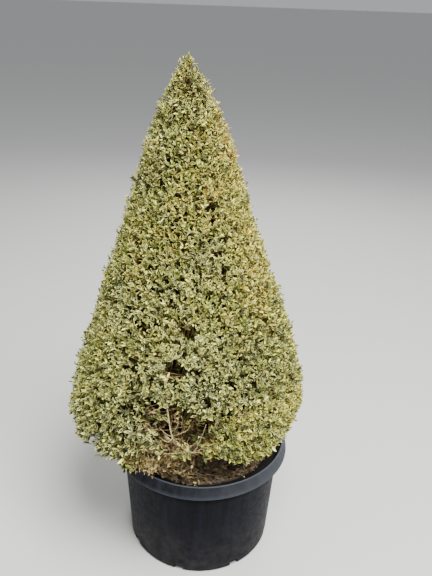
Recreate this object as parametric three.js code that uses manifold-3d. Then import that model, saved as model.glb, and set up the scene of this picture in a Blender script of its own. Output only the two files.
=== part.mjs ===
// A variegated boxwood clipped to a tall cone, growing in a round nursery planter.
// Millimetres, +Z up. The origin is the middle of the planter's flat underside, -Y is the front.
import * as THREE from "three";
import Module from "manifold-3d";
import { mergeVertices } from "three/addons/utils/BufferGeometryUtils.js";

const wasm = await Module();
wasm.setup();

// Planter
const POT_HEIGHT = 308;
const POT_FOOT_RADIUS = 190;
const POT_SHOULDER_RADIUS = 205;
const POT_BAND_RADIUS = 226.5;
const POT_LIP_RADIUS = 216;
const POT_BAND_HEIGHT = 34;
const POT_WALL = 3.2;
const POT_EDGE_ROUND = 7;
const POT_SIDES = 40;
const LIP_ROUND = 2;
const BAND_EDGE_ROUND = 3;
const DRAIN_COUNT = 8;
const DRAIN_WIDTH = 24;
const DRAIN_HEIGHT = 15;
const DRAIN_DEPTH = 20;
const DRAIN_START = THREE.MathUtils.degToRad(-104);
const BAND_FOOT_HEIGHT = POT_HEIGHT - POT_BAND_HEIGHT;

// Soil, 0.4 mm inside the planter's wall and slightly mounded round the trunk
const FIT_GAP = 0.4;
const SOIL_EDGE_HEIGHT = 281;
const SOIL_MOUND_HEIGHT = 289;
const SOIL_FLAT_RADIUS = 70;
const SOIL_SLOPE_RADIUS = 118;
const SOIL_DISH_RADIUS = 165;
const SOIL_STEP = 2;

// Clear space between a limb and the foliage round it
const LIMB_GAP = 0.3;
// Clear space between foliage and the planter
const RIM_GAP = 1.5;
// How far the furthest leaves may pass the outline, and how far apart two masses stay
const OUTLINE_MARGIN = 4;
const MASS_GAP = 1;

// Foliage outline: [height, radius] from the lowest sprays to the tip
const FOLIAGE_OUTLINE = [
  [318, 150],
  [352, 219],
  [392, 276],
  [455, 288],
  [508, 281],
  [635, 243],
  [838, 171],
  [1092, 87],
  [1215, 32],
  [1257, 0],
];
// The cone leans a little to the left of the planter: [height, X of its middle]
const FOLIAGE_MIDDLE = [
  [318, -58],
  [540, -35],
  [800, -40],
  [1257, -50],
];
const FOLIAGE_FOOT = FOLIAGE_OUTLINE[0][0];
const FOLIAGE_TIP = FOLIAGE_OUTLINE.at(-1)[0];

// Dense core inside the sprays, thinner towards the tip
const CORE_DEPTH = 42;
const FULL_DEPTH_RADIUS = 110;
const CORE_TIP_DEPTH = 34;
const CORE_LUMP = 7;
const CORE_ROWS = 17;
const CORE_SIDES = 24;
const CORE_VAULT_HEIGHT = 425;
const CORE_VAULT_RADIUS = 60;
const CORE_FOOT_HEIGHT = 352;
const CORE_FOOT_RADIUS = 165;
const CORE_FOOT_LIFT = 18;

// Gaps in the clipped face: middle height, angle, half height, half width, depth
const GAPS = [
  { height: 640, degrees: -95, tall: 24, wide: 24, depth: 26 },
  { height: 638, degrees: -120, tall: 20, wide: 20, depth: 24 },
  { height: 708, degrees: -116, tall: 16, wide: 22, depth: 22 },
  { height: 714, degrees: -89, tall: 16, wide: 24, depth: 22 },
];
// The thin patch low on the front, where bare wood shows
const THIN_PATCH = { height: 462, degrees: -104, tall: 125, wide: 118, depth: 46 };
// No spray grows where a gap is deeper than this share, and every third one from the first of these
// is missing in the patch
const BARE_SHARE = 0.2;
const THIN_SHARE = 0.1;
const THIN_EVERY = 3;
const THIN_FIRST = 2;
const LEAF_GAP_DEPTH = 0.1;

// Trunk
const TRUNK_PATH = [
  [-14, 2, SOIL_MOUND_HEIGHT - 12],
  [-20, 0, 330],
  [-33, 0, 470],
  [-38, 0, 700],
  [-43, 0, 950],
  [-48, 0, 1188],
];
const TRUNK_RADIUS = 17;
const TRUNK_TIP_RADIUS = 1.6;
const FLARE_RADIUS = 34;
const FLARE_HEIGHT = 26;
const FLARE_LOBES = 5;
const FLARE_LOBE_DEPTH = 0.22;
const TRUNK_RINGS = 10;
const CUT_BLOCK = 400;

// Main boughs: they leave the trunk low down and end in the underside of the cone's core
const BOUGH_COUNT = 6;
const BOUGH_MIDDLE_X = -24;
const BOUGH_START_HEIGHT = 306;
const BOUGH_STEPS = 3;
const BOUGH_RISE = 13;
const BOUGH_REACH = 122;
const BOUGH_RADIUS = 8.5;
const BOUGH_TIP_RADIUS = 5;
const BOUGH_START_ANGLE = THREE.MathUtils.degToRad(8);

// Low boughs that end outside the core: the first one shows through the thin patch
const FRONT_BOUGH_PATH = [
  [-20, 0, 318],
  [-28, -110, 352],
  [-42, -205, 412],
  [-58, -254, 480],
  [-70, -242, 545],
  [-74, -212, 606],
];
const LEFT_BOUGH_PATH = [
  [-20, 0, 312],
  [-84, -44, 320],
  [-132, -84, 330],
  [-156, -112, 340],
];
const FRONT_LOW_BOUGH_PATH = [
  [-20, 0, 326],
  [-44, -74, 330],
  [-68, -128, 336],
  [-82, -156, 342],
];
const LOW_BOUGH_RADIUS = 6;
const LOW_BOUGH_TIP_RADIUS = 2.4;
const BOUGH_SIDES = 7;
const BOUGH_RINGS = 8;

// Leaves and twigs, larger than life: each leaf stands for a spray
const LEAF_LENGTH = 66;
const LEAF_WIDTH = 42;
const LEAF_THICKNESS = 2;
const LEAF_CUP = 4;
// How steeply a leaf rises from its twig: the first of these at which it touches nothing
const LEAF_RISES = [0.3, 0.55, 0.85];
const LEAF_SINK = 0.6;
const TWIG_RADIUS = 3.6;
const TWIG_TIP_RADIUS = 2.8;
const NODE_SPACING = 11;
const NODE_STAGGER = 2;
const TWIG_ROOT_DEPTH = 14;
const CONE_SPRAYS = 98;
const LEAST_SIZE = 0.45;
const TIP_SPRAYS = 4;
const TIP_SPREAD = 16;
const GOLDEN_ANGLE = Math.PI * (3 - Math.sqrt(5));
const UP = new THREE.Vector3(0, 0, 1);

// Spaces of the two small masses, as ellipsoids
const LEFT_TUFT = { middle: [-180, -148, 334], half: [58, 68, 38] };
const BARE_TWIGS = { middle: [-98, -196, 352], half: [84, 52, 46] };
const STEM_RADIUS = 3.4;
const STEM_TIP_RADIUS = 2.2;

const LEAF_COLOUR = 0xb4b27a;
const DRY_COLOUR = 0xb09a68;
const BARK_COLOUR = 0x8b7355;
const SOIL_COLOUR = 0x4a3426;
const POT_COLOUR = 0x2c2d31;

// Repeatable random numbers from 0 to 1
function seeded(seed) {
  let state = seed;
  return () => {
    state = (state + 0x6d2b79f5) | 0;
    let mixed = Math.imul(state ^ (state >>> 15), 1 | state);
    mixed = (mixed + Math.imul(mixed ^ (mixed >>> 7), 61 | mixed)) ^ mixed;
    return ((mixed ^ (mixed >>> 14)) >>> 0) / 4294967296;
  };
}

// A smooth curve through [position, value] pairs, as a function of position
function smoothThrough(pairs) {
  const positions = pairs.map((pair) => pair[0]);
  const values = pairs.map((pair) => pair[1]);
  const curve = new THREE.CubicInterpolant(positions, values, 1);
  return (at) => curve.evaluate(THREE.MathUtils.clamp(at, positions[0], positions.at(-1)))[0];
}

const outlineRadius = smoothThrough(FOLIAGE_OUTLINE);
const middleX = smoothThrough(FOLIAGE_MIDDLE);

// Share of the full depth and leaf size at a height: 1 low down, less where the cone is narrow
function fullness(height) {
  return Math.min(1, outlineRadius(height) / FULL_DEPTH_RADIUS);
}

// A closed geometry as a solid
function solid(geometry) {
  const bare = new THREE.BufferGeometry();
  bare.setAttribute("position", geometry.getAttribute("position").clone());
  bare.setIndex(geometry.index);
  const merged = mergeVertices(bare, 1e-3);
  const vertProperties = merged.getAttribute("position").array;
  const triVerts = new Uint32Array(merged.index.array);
  return new wasm.Manifold(new wasm.Mesh({ numProp: 3, vertProperties, triVerts }));
}

// The largest closed body of a solid: loose scraps go, and sealed hollows are filled
function wholeBody(shape) {
  const bodies = shape.decompose();
  return bodies.reduce((best, body) => (body.volume() > best.volume() ? body : best));
}

function geometryOf(shape) {
  const mesh = shape.getMesh();
  const geometry = new THREE.BufferGeometry();
  const stride = mesh.numProp;
  const positions = new Float32Array(mesh.numVert * 3);
  for (let i = 0; i < mesh.numVert; i++) {
    positions.set(mesh.vertProperties.subarray(i * stride, i * stride + 3), i * 3);
  }
  geometry.setAttribute("position", new THREE.BufferAttribute(positions, 3));
  geometry.setIndex(new THREE.BufferAttribute(new Uint32Array(mesh.triVerts), 1));
  geometry.computeVertexNormals();
  return geometry;
}

// A profile of [radius, height] turned round the Z axis
function turned(profile, sides) {
  const points = profile.map(([radius, height]) => new THREE.Vector2(radius, height));
  return new THREE.LatheGeometry(points, sides).rotateX(Math.PI / 2);
}

// Moves each vertex of a geometry by a function of its place
function reshape(geometry, move) {
  const position = geometry.getAttribute("position");
  const point = new THREE.Vector3();
  for (let i = 0; i < position.count; i++) {
    move(point.fromBufferAttribute(position, i));
    position.setXYZ(i, point.x, point.y, point.z);
  }
  return geometry;
}

// A tapering limb along a path, radiusAt(share of its length, angle round it).
// A crowding above 1 draws its rings together towards its foot.
function limb(path, radiusAt, sides, steps, crowding = 1) {
  const frames = path.computeFrenetFrames(steps, false);
  return reshape(new THREE.CylinderGeometry(1, 1, 1, sides, steps), (point) => {
    const share = (point.y + 0.5) ** crowding;
    const ring = Math.round(share * steps);
    const radius = radiusAt(share, Math.atan2(point.z, point.x));
    const { x, z } = point;
    point.copy(path.getPointAt(share));
    point.addScaledVector(frames.normals[ring], x * radius);
    point.addScaledVector(frames.binormals[ring], -z * radius);
  });
}

function pathThrough(points) {
  return new THREE.CatmullRomCurve3(points.map((at) => new THREE.Vector3(...at)));
}

// Outer radius of the planter's body at a height
function wallAt(height) {
  return THREE.MathUtils.mapLinear(height, 0, BAND_FOOT_HEIGHT, POT_FOOT_RADIUS, POT_SHOULDER_RADIUS);
}

// Planter: a thin tapering wall, a floor, and a band that flares below the lip
function potShell() {
  const round = POT_EDGE_ROUND;
  const outside = [
    [0, 0],
    [POT_FOOT_RADIUS - round, 0],
    [POT_FOOT_RADIUS - round * 0.3, round * 0.3],
    [wallAt(round), round],
    [POT_SHOULDER_RADIUS, BAND_FOOT_HEIGHT],
    [POT_BAND_RADIUS - BAND_EDGE_ROUND / 2, BAND_FOOT_HEIGHT],
    [POT_BAND_RADIUS, BAND_FOOT_HEIGHT + BAND_EDGE_ROUND],
    [POT_LIP_RADIUS, POT_HEIGHT - LIP_ROUND],
    [POT_LIP_RADIUS - LIP_ROUND, POT_HEIGHT],
  ];
  const inside = [
    [POT_LIP_RADIUS - POT_WALL, POT_HEIGHT - LIP_ROUND / 2],
    [POT_BAND_RADIUS - POT_WALL, BAND_FOOT_HEIGHT + BAND_EDGE_ROUND + LIP_ROUND],
    [POT_SHOULDER_RADIUS - POT_WALL, BAND_FOOT_HEIGHT + POT_WALL],
    [wallAt(round) - POT_WALL, round + POT_WALL],
    [POT_FOOT_RADIUS - round - POT_WALL, POT_WALL],
    [0, POT_WALL],
  ];
  const shell = solid(turned([...outside, ...inside], POT_SIDES));
  return drainCutters().reduce((pot, cutter) => pot.subtract(cutter), shell);
}

// Square drain notches round the planter's bottom edge
function drainCutters() {
  return Array.from({ length: DRAIN_COUNT }, (_, i) => {
    const angle = DRAIN_START + (i * 2 * Math.PI) / DRAIN_COUNT;
    const block = new THREE.BoxGeometry(DRAIN_DEPTH * 2, DRAIN_WIDTH, DRAIN_HEIGHT * 2);
    return solid(block.translate(POT_FOOT_RADIUS - 2, 0, 0).rotateZ(angle));
  });
}

// Soil: fills the planter up to a shallow mound, with a flat middle under the trunk
function soilBody() {
  const inset = POT_WALL + FIT_GAP;
  const profile = [
    [0, inset],
    [POT_FOOT_RADIUS - POT_EDGE_ROUND - inset, inset],
    [wallAt(POT_EDGE_ROUND) - inset, POT_EDGE_ROUND + inset],
    [wallAt(BAND_FOOT_HEIGHT) - inset, BAND_FOOT_HEIGHT],
    [wallAt(SOIL_EDGE_HEIGHT) - inset, SOIL_EDGE_HEIGHT],
    [SOIL_DISH_RADIUS, SOIL_EDGE_HEIGHT + SOIL_STEP],
    [SOIL_SLOPE_RADIUS, SOIL_MOUND_HEIGHT - SOIL_STEP],
    [SOIL_FLAT_RADIUS, SOIL_MOUND_HEIGHT],
    [0, SOIL_MOUND_HEIGHT],
  ];
  return solid(turned(profile, POT_SIDES));
}

// Trunk: tapers from a lobed root flare to a slender leader inside the cone
function trunkGeometry(extra) {
  const path = pathThrough(TRUNK_PATH);
  const length = path.getLength();
  const radiusAt = (share, angle) => {
    const taper = THREE.MathUtils.lerp(TRUNK_RADIUS, TRUNK_TIP_RADIUS, share ** 0.85);
    const flare = Math.exp((-share * length) / FLARE_HEIGHT);
    const lobes = 1 + FLARE_LOBE_DEPTH * Math.cos(FLARE_LOBES * angle);
    return taper + (FLARE_RADIUS - TRUNK_RADIUS) * flare * lobes + extra;
  };
  return limb(path, radiusAt, 2 * FLARE_LOBES, TRUNK_RINGS, 2);
}

// What lies above the flat cut at the soil's surface
function aboveSoil(shape) {
  const block = new THREE.BoxGeometry(CUT_BLOCK, CUT_BLOCK, CUT_BLOCK);
  return shape.subtract(solid(block.translate(0, 0, SOIL_MOUND_HEIGHT + LIMB_GAP - CUT_BLOCK / 2)));
}

// Path of main bough i: out of the trunk, then steeply up into the core
function mainBoughPoints(i) {
  const angle = BOUGH_START_ANGLE + (i * 2 * Math.PI) / BOUGH_COUNT;
  const start = BOUGH_START_HEIGHT + BOUGH_RISE * (i % BOUGH_STEPS);
  const at = (reach, height) => [
    BOUGH_MIDDLE_X + reach * Math.cos(angle),
    reach * Math.sin(angle),
    height,
  ];
  return [
    at(0, start),
    at(BOUGH_REACH * 0.35, start + 26),
    at(BOUGH_REACH * 0.72, start + 66),
    at(BOUGH_REACH, CORE_VAULT_HEIGHT - 6),
  ];
}

const MAIN_TAPER = [BOUGH_RADIUS, BOUGH_TIP_RADIUS];
const LOW_TAPER = [LOW_BOUGH_RADIUS, LOW_BOUGH_TIP_RADIUS];
const BOUGHS = [
  ...Array.from({ length: BOUGH_COUNT }, (_, i) => ({
    name: `bough_${i + 1}`,
    points: mainBoughPoints(i),
    taper: MAIN_TAPER,
  })),
  { name: "bough_front", points: FRONT_BOUGH_PATH, taper: LOW_TAPER },
  { name: "bough_left_low", points: LEFT_BOUGH_PATH, taper: LOW_TAPER },
  { name: "bough_front_low", points: FRONT_LOW_BOUGH_PATH, taper: LOW_TAPER },
];

function boughGeometry({ points, taper }, extra) {
  const radiusAt = (share) => THREE.MathUtils.lerp(...taper, share) + extra;
  return limb(pathThrough(points), radiusAt, BOUGH_SIDES, BOUGH_RINGS);
}

// Place on the foliage outline, moved inwards by an inset
function onOutline(height, angle, inset) {
  const radius = Math.max(outlineRadius(height) - inset, 0);
  const x = middleX(height) + radius * Math.cos(angle);
  return new THREE.Vector3(x, radius * Math.sin(angle), height);
}

// Outward direction of the foliage outline
function outwards(height, angle) {
  const step = 6;
  const low = Math.max(height - step, FOLIAGE_FOOT);
  const high = Math.min(height + step, FOLIAGE_TIP);
  const slope = (outlineRadius(high) - outlineRadius(low)) / (high - low);
  return new THREE.Vector3(Math.cos(angle), Math.sin(angle), -slope).normalize();
}

// How far a place is inside a gap, from 0 at its edge to 1 in its middle
function insideGap(gap, height, angle) {
  const away = angle - THREE.MathUtils.degToRad(gap.degrees);
  const turn = Math.atan2(Math.sin(away), Math.cos(away));
  const across = (turn * outlineRadius(height)) / gap.wide;
  const along = (height - gap.height) / gap.tall;
  return Math.max(0, 1 - across * across - along * along);
}

function gapDepth(height, angle) {
  return [...GAPS, THIN_PATCH].reduce(
    (depth, gap) => Math.max(depth, gap.depth * Math.sqrt(insideGap(gap, height, angle))),
    0,
  );
}

// Core: the outline shrunk by the depth of the sprays, lumpy, dented at the gaps, hollow below
function coreBody() {
  const random = seeded(3);
  const top = FOLIAGE_TIP - CORE_TIP_DEPTH;
  const underside = [
    [0, CORE_VAULT_HEIGHT],
    [CORE_VAULT_RADIUS, CORE_VAULT_HEIGHT],
    [CORE_FOOT_RADIUS, CORE_FOOT_HEIGHT],
  ];
  const side = Array.from({ length: CORE_ROWS }, (_, row) => {
    const height = THREE.MathUtils.lerp(CORE_FOOT_HEIGHT + CORE_FOOT_LIFT, top, row / CORE_ROWS);
    return [outlineRadius(height) - CORE_DEPTH * fullness(height), height];
  });
  const profile = [...underside, ...side, [0, top]];
  const near = (a, b) => Math.abs(a - b) < 0.01;
  const lumps = side.map(() => Array.from({ length: CORE_SIDES }, () => 2 * random() - 1));
  const geometry = turned(profile, CORE_SIDES);
  reshape(geometry, (point) => {
    const angle = Math.atan2(point.y, point.x);
    const radius = Math.hypot(point.x, point.y);
    const height = point.z;
    const row = side.findIndex((at) => near(at[0], radius) && near(at[1], height));
    const column = Math.round((angle / (2 * Math.PI)) * CORE_SIDES + CORE_SIDES) % CORE_SIDES;
    const lump = row < 0 ? 0 : CORE_LUMP * fullness(height) * lumps[row][column];
    const dent = row < 0 ? 0 : gapDepth(height, angle);
    const shaped = radius + lump - dent;
    point.x = middleX(height) + shaped * Math.cos(angle);
    point.y = shaped * Math.sin(angle);
  });
  return solid(geometry);
}

// A leaf: a flat eight-faced kite, its two halves tilted up along the midrib
function leafSolid(root, along, normal, size) {
  const length = LEAF_LENGTH * size;
  const geometry = new THREE.OctahedronGeometry(1);
  reshape(geometry, (point) => {
    const cup = Math.abs(point.y) * LEAF_CUP * size;
    point.x = (point.x * length) / 2 + length / 2 - LEAF_SINK;
    point.y *= (LEAF_WIDTH * size) / 2;
    point.z = (point.z * LEAF_THICKNESS) / 2 + cup;
  });
  const side = new THREE.Vector3().crossVectors(normal, along).normalize();
  const face = new THREE.Vector3().crossVectors(along, side);
  const basis = new THREE.Matrix4().makeBasis(along, side, face).setPosition(root);
  return solid(geometry.applyMatrix4(basis));
}

function twigSolid(from, to) {
  const path = new THREE.LineCurve3(from, to);
  const radiusAt = (share) => THREE.MathUtils.lerp(TWIG_RADIUS, TWIG_TIP_RADIUS, share);
  return solid(limb(path, radiusAt, 3, 1));
}

// A spray: one twig with opposite pairs of leaves, each pair turned from the last, and an end leaf.
// The leaves spread across the facing direction and rise along it. Each is a function of its rise.
function sprayOf(root, tip, facing, random, { pairs, size, endLeaf }) {
  const back = root.clone().sub(tip).normalize();
  const side = new THREE.Vector3(random() - 0.5, random() - 0.5, random() - 0.5);
  side.cross(facing).normalize();
  const leaves = [];
  for (let pair = 0; pair < pairs; pair++) {
    const node = tip.clone().addScaledVector(back, NODE_SPACING * size * (pair + 0.35));
    const across = side.clone().applyAxisAngle(facing, pair * (Math.PI / 2 - 0.25));
    for (const way of [1, -1]) {
      const leafSize = size * (0.8 + 0.32 * random());
      const at = node.clone().addScaledVector(back, NODE_STAGGER * way);
      leaves.push((rise) => {
        const along = across.clone().multiplyScalar(way).addScaledVector(facing, rise).normalize();
        return leafSolid(at, along, facing, leafSize);
      });
    }
  }
  if (endLeaf > 0) leaves.push(() => leafSolid(tip, facing.clone(), side, size * endLeaf));
  return { twig: twigSolid(root, tip), leaves };
}

function boxesMeet(a, b) {
  return [0, 1, 2].every((axis) => a.min[axis] <= b.max[axis] && a.max[axis] >= b.min[axis]);
}

function touches(shape, others) {
  const box = shape.boundingBox();
  return others.some((other) => boxesMeet(box, other.boundingBox()) && !shape.intersect(other).isEmpty());
}

// A spray's twig and those leaves that stay in the space and pass through nothing else
function keptSolids({ twig, leaves }, space, others) {
  const inSpace = (shape) => shape.subtract(space).isEmpty();
  if (!inSpace(twig)) return [];
  const kept = [twig];
  for (const leafAt of leaves) {
    const leaf = LEAF_RISES.map(leafAt).find((shape) => inSpace(shape) && !touches(shape, others));
    if (leaf) kept.push(leaf);
  }
  return kept;
}

// Heights shared out so that every stretch of the outline gets sprays by its area
function sprayHeights(count, random) {
  const rows = 400;
  const areas = [];
  let total = 0;
  for (let row = 0; row <= rows; row++) {
    const height = THREE.MathUtils.lerp(FOLIAGE_FOOT + 8, FOLIAGE_TIP - 14, row / rows);
    total += (outlineRadius(height) + 6) / outwards(height, 0).setZ(0).length();
    areas.push([total, height]);
  }
  return Array.from({ length: count }, (_, i) => {
    const wanted = ((i + 0.2 + 0.6 * random()) / count) * total;
    return areas.find(([sum]) => sum >= wanted)[1];
  });
}

// The cone: a core with sprays standing out of it all round
function coneFoliage(space, clear) {
  const random = seeded(5);
  const pieces = [coreBody()];
  for (let i = 0; i < TIP_SPRAYS; i++) {
    pieces.push(...keptSolids(tipSpray(i, random), space, pieces));
  }
  sprayHeights(CONE_SPRAYS, random).forEach((height, i) => {
    const angle = i * GOLDEN_ANGLE;
    if (GAPS.some((gap) => insideGap(gap, height, angle) > BARE_SHARE)) return;
    if (insideGap(THIN_PATCH, height, angle) > THIN_SHARE && i % THIN_EVERY === THIN_FIRST) return;
    pieces.push(...keptSolids(coneSpray(height, angle, random), space, pieces));
  });
  return wholeBody(wasm.Manifold.union(pieces).intersect(clear));
}

// One spray of the cone: its twig climbs out of the core to just under the outline
function coneSpray(height, angle, random) {
  const size = Math.max(fullness(height), LEAST_SIZE);
  const facing = outwards(height, angle);
  const depth = LEAF_LENGTH * LEAF_RISES[0] * size + LEAF_GAP_DEPTH * gapDepth(height, angle);
  const tip = onOutline(height, angle, 0).addScaledVector(facing, -depth);
  const inner = CORE_DEPTH * fullness(height) + TWIG_ROOT_DEPTH + gapDepth(height, angle);
  const root = onOutline(height - inner * 0.5, angle, inner);
  return sprayOf(root, tip, facing, random, { pairs: 2, size, endLeaf: 0 });
}

// The upright shoots that make the cone's tip: one in the middle and the rest round it
function tipSpray(i, random) {
  const size = LEAST_SIZE;
  const angle = (i * 2 * Math.PI) / (TIP_SPRAYS - 1);
  const spread = i ? TIP_SPREAD : 0;
  const foot = FOLIAGE_TIP - CORE_TIP_DEPTH - TWIG_ROOT_DEPTH;
  const top = FOLIAGE_TIP - LEAF_LENGTH * size * 0.8 - spread;
  const at = (height, out) =>
    new THREE.Vector3(middleX(height) + out * Math.cos(angle), out * Math.sin(angle), height);
  const root = at(foot - spread, spread * 0.3);
  const tip = at(top, spread);
  const facing = tip.clone().sub(root).normalize();
  return sprayOf(root, tip, facing, random, { pairs: 1, size, endLeaf: 0.85 });
}

function ellipsoid({ middle, half }, extra) {
  const [x, y, z] = half.map((size) => size + extra);
  const ball = new THREE.SphereGeometry(1, 24, 16).scale(x, y, z);
  return solid(ball.translate(...middle));
}

// A small mass: twigs that branch from one stem, with leaves on some of them
function smallMass(stem, { twigs, reach, leafShare, size, seed }, space) {
  const random = seeded(seed);
  const [from, to] = stem.map((at) => new THREE.Vector3(...at));
  const stemRadius = (share) => THREE.MathUtils.lerp(STEM_RADIUS, STEM_TIP_RADIUS, share);
  const pieces = [solid(limb(new THREE.LineCurve3(from, to), stemRadius, 5, 1))];
  for (let i = 0; i < twigs; i++) {
    const root = from.clone().lerp(to, 0.25 + (0.75 * i) / (twigs - 1));
    const facing = directionAbout(i, random);
    const tip = root.clone().addScaledVector(facing, reach * (0.75 + 0.4 * random()));
    const spray = sprayOf(root, tip, facing, random, { pairs: 1, size, endLeaf: 0.6 });
    if (random() > leafShare) spray.leaves = [];
    pieces.push(...keptSolids(spray, space, pieces.slice(1)));
  }
  return wholeBody(wasm.Manifold.union(pieces).subtract(limbRoom));
}

// Directions spread evenly over a ball, by the golden angle
function directionAbout(i, random) {
  const z = ((i * 0.618) % 1) * 1.7 - 0.7;
  const flat = Math.sqrt(Math.max(1 - z * z, 0.1));
  const angle = i * GOLDEN_ANGLE + 0.4 * random();
  return new THREE.Vector3(flat * Math.cos(angle), flat * Math.sin(angle), z).normalize();
}

const topiary = new THREE.Group();

function addMesh(name, geometry, color, roughness) {
  const material = new THREE.MeshStandardMaterial({ color, roughness, metalness: 0 });
  const mesh = new THREE.Mesh(geometry, material);
  mesh.name = name;
  topiary.add(mesh);
}

const pot = potShell();
const trunk = aboveSoil(solid(trunkGeometry(0)));
const trunkRoom = solid(trunkGeometry(LIMB_GAP));
const boughRooms = BOUGHS.map((bough) => solid(boughGeometry(bough, LIMB_GAP)));
const limbRoom = wasm.Manifold.union([trunkRoom, ...boughRooms]);

addMesh("pot", geometryOf(pot), POT_COLOUR, 0.5);
addMesh("soil", geometryOf(soilBody()), SOIL_COLOUR, 0.95);
addMesh("trunk", geometryOf(trunk), BARK_COLOUR, 0.85);

// Each bough stops short of the trunk and of the boughs before it
BOUGHS.forEach((bough, i) => {
  const others = wasm.Manifold.union([trunkRoom, ...boughRooms.slice(0, i)]);
  const cut = wholeBody(solid(boughGeometry(bough, 0)).subtract(others));
  addMesh(bough.name, geometryOf(cut), BARK_COLOUR, 0.85);
});

// Space above and outside the planter, clear of every limb
const rimKeepOut = solid(
  turned(
    [
      [0, 0],
      [POT_BAND_RADIUS + RIM_GAP, 0],
      [POT_BAND_RADIUS + RIM_GAP, POT_HEIGHT - POT_BAND_HEIGHT + 6],
      [POT_LIP_RADIUS + RIM_GAP, POT_HEIGHT + RIM_GAP],
      [0, POT_HEIGHT + RIM_GAP],
    ],
    POT_SIDES,
  ),
);

// The room inside the foliage outline, with a little to spare
function outlineBody() {
  const rows = 40;
  const side = Array.from({ length: rows + 1 }, (_, i) => {
    const height = THREE.MathUtils.lerp(FOLIAGE_FOOT, FOLIAGE_TIP, i / rows);
    return [outlineRadius(height) + OUTLINE_MARGIN, height];
  });
  const profile = [[0, FOLIAGE_FOOT], ...side, [0, FOLIAGE_TIP + OUTLINE_MARGIN]];
  return solid(reshape(turned(profile, 36), (point) => (point.x += middleX(point.z))));
}

const smallRooms = [BARE_TWIGS, LEFT_TUFT].map((small) => ellipsoid(small, MASS_GAP));
const coneClear = [limbRoom, ...smallRooms].reduce((room, other) => room.subtract(other), outlineBody());
const coneSpace = coneClear.subtract(rimKeepOut);
addMesh("foliage_cone", geometryOf(coneFoliage(coneSpace, coneClear)), LEAF_COLOUR, 0.6);

const smallMasses = [
  {
    name: "twigs_front_low",
    space: ellipsoid(BARE_TWIGS, 0),
    stem: [FRONT_LOW_BOUGH_PATH.at(-1), [-112, -214, 356]],
    rule: { twigs: 15, reach: 48, leafShare: 0.35, size: 0.5, seed: 23 },
    colour: DRY_COLOUR,
  },
  {
    name: "foliage_left_low",
    space: ellipsoid(LEFT_TUFT, 0).subtract(ellipsoid(BARE_TWIGS, MASS_GAP)),
    stem: [LEFT_BOUGH_PATH.at(-1), [-188, -150, 338]],
    rule: { twigs: 9, reach: 30, leafShare: 1, size: 0.62, seed: 11 },
    colour: LEAF_COLOUR,
  },
];
for (const { name, space, stem, rule, colour } of smallMasses) {
  const room = space.subtract(limbRoom).subtract(rimKeepOut);
  addMesh(name, geometryOf(smallMass(stem, rule, room)), colour, 0.6);
}

export default topiary;
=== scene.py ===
"""A variegated boxwood clipped to a tall cone, growing in a round nursery planter.

Metres, +Z up. The origin is the middle of the planter's flat underside, and -Y is the front.
"""

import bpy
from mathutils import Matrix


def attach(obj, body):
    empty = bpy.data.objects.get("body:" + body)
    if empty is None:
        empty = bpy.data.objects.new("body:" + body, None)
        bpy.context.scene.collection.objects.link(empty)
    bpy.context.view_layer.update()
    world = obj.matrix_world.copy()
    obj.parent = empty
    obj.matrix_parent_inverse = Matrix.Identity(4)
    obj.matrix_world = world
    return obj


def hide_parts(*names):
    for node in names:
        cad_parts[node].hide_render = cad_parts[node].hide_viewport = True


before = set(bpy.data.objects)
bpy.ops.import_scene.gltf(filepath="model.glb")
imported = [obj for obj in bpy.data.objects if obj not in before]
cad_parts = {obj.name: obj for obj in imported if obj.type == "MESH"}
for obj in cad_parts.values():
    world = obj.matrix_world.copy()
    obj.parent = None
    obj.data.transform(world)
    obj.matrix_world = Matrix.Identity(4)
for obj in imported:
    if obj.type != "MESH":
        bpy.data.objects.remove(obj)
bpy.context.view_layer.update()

import logging
import math
from dataclasses import dataclass
from enum import Enum
from typing import Self

import bmesh
import bpy
import numpy as np
from mathutils import Matrix, Vector

Array = np.ndarray
Rng = np.random.Generator
Socket = bpy.types.NodeSocket
Route = tuple[tuple[float, float, float], ...]
MM = 0.001
UP = np.array([0.0, 0.0, 1.0])
GOLDEN_ANGLE = math.pi * (3 - math.sqrt(5))
log = logging.getLogger("topiary")


class Slot(Enum):
    """The record's material slots."""

    POT = "pot"
    SOIL = "soil"
    BARK = "bark"
    LEAF = "leaf"
    DRY_TWIG = "dry_twig"


class Margin(Enum):
    """Colours of leaf margins and of wholly pale leaves, from the least golden to the most."""

    IVORY = "e9ef9f"
    CREAM = "ebe98a"
    LIME = "c1cc62"
    YELLOW = "e3dc70"
    GOLD = "dabf4c"


class Centre(Enum):
    """Colours of leaf centres and of wholly green leaves, from the least golden to the most."""

    DEEP_GREEN = "383c20"
    GREY_GREEN = "626648"
    MID_GREEN = "555a38"
    OLIVE = "655d3e"


class Old(Enum):
    """Colours of the old leaves behind the shoots, and of the shaded ones behind those."""

    DEEP_GREEN = "42481f"
    BROWN = "5c4a2a"
    # Dark brown, partly the leaves' own colour and partly painted shade deep in the crown.
    SHADE = "3c2e12"


class Dry(Enum):
    """Colours of dead leaves."""

    STRAW = "e4d494"
    TAN = "bb9f68"
    BROWN = "6f5d40"


class Mulch(Enum):
    """Colours of the bark chips on the soil."""

    RUST = "8b6a50"
    DARK = "483d32"
    PALE = "b09e82"


def linear(code: str) -> tuple[float, float, float, float]:
    """A colour written as six hexadecimal digits of display colour, as linear light.

    Args:
        code: Red, green and blue, two digits each.

    Returns:
        Red, green, blue and an alpha of one.
    """
    display = np.array([int(code[i:i + 2], 16) for i in (0, 2, 4)]) / 255
    light = np.where(display <= 0.04045, display / 12.92, ((display + 0.055) / 1.055) ** 2.4)
    return (*light.tolist(), 1.0)


def mix(start: Array, end: Array, share: Array) -> Array:
    """The value at a share of the way from start to end."""
    return start + (end - start) * share


def rise(value: Array, zero: float, one: float) -> Array:
    """0 where a value is at zero or before it, 1 where it is at one or past it, and even between."""
    return np.clip((value - zero) / (one - zero), 0, 1)


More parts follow.
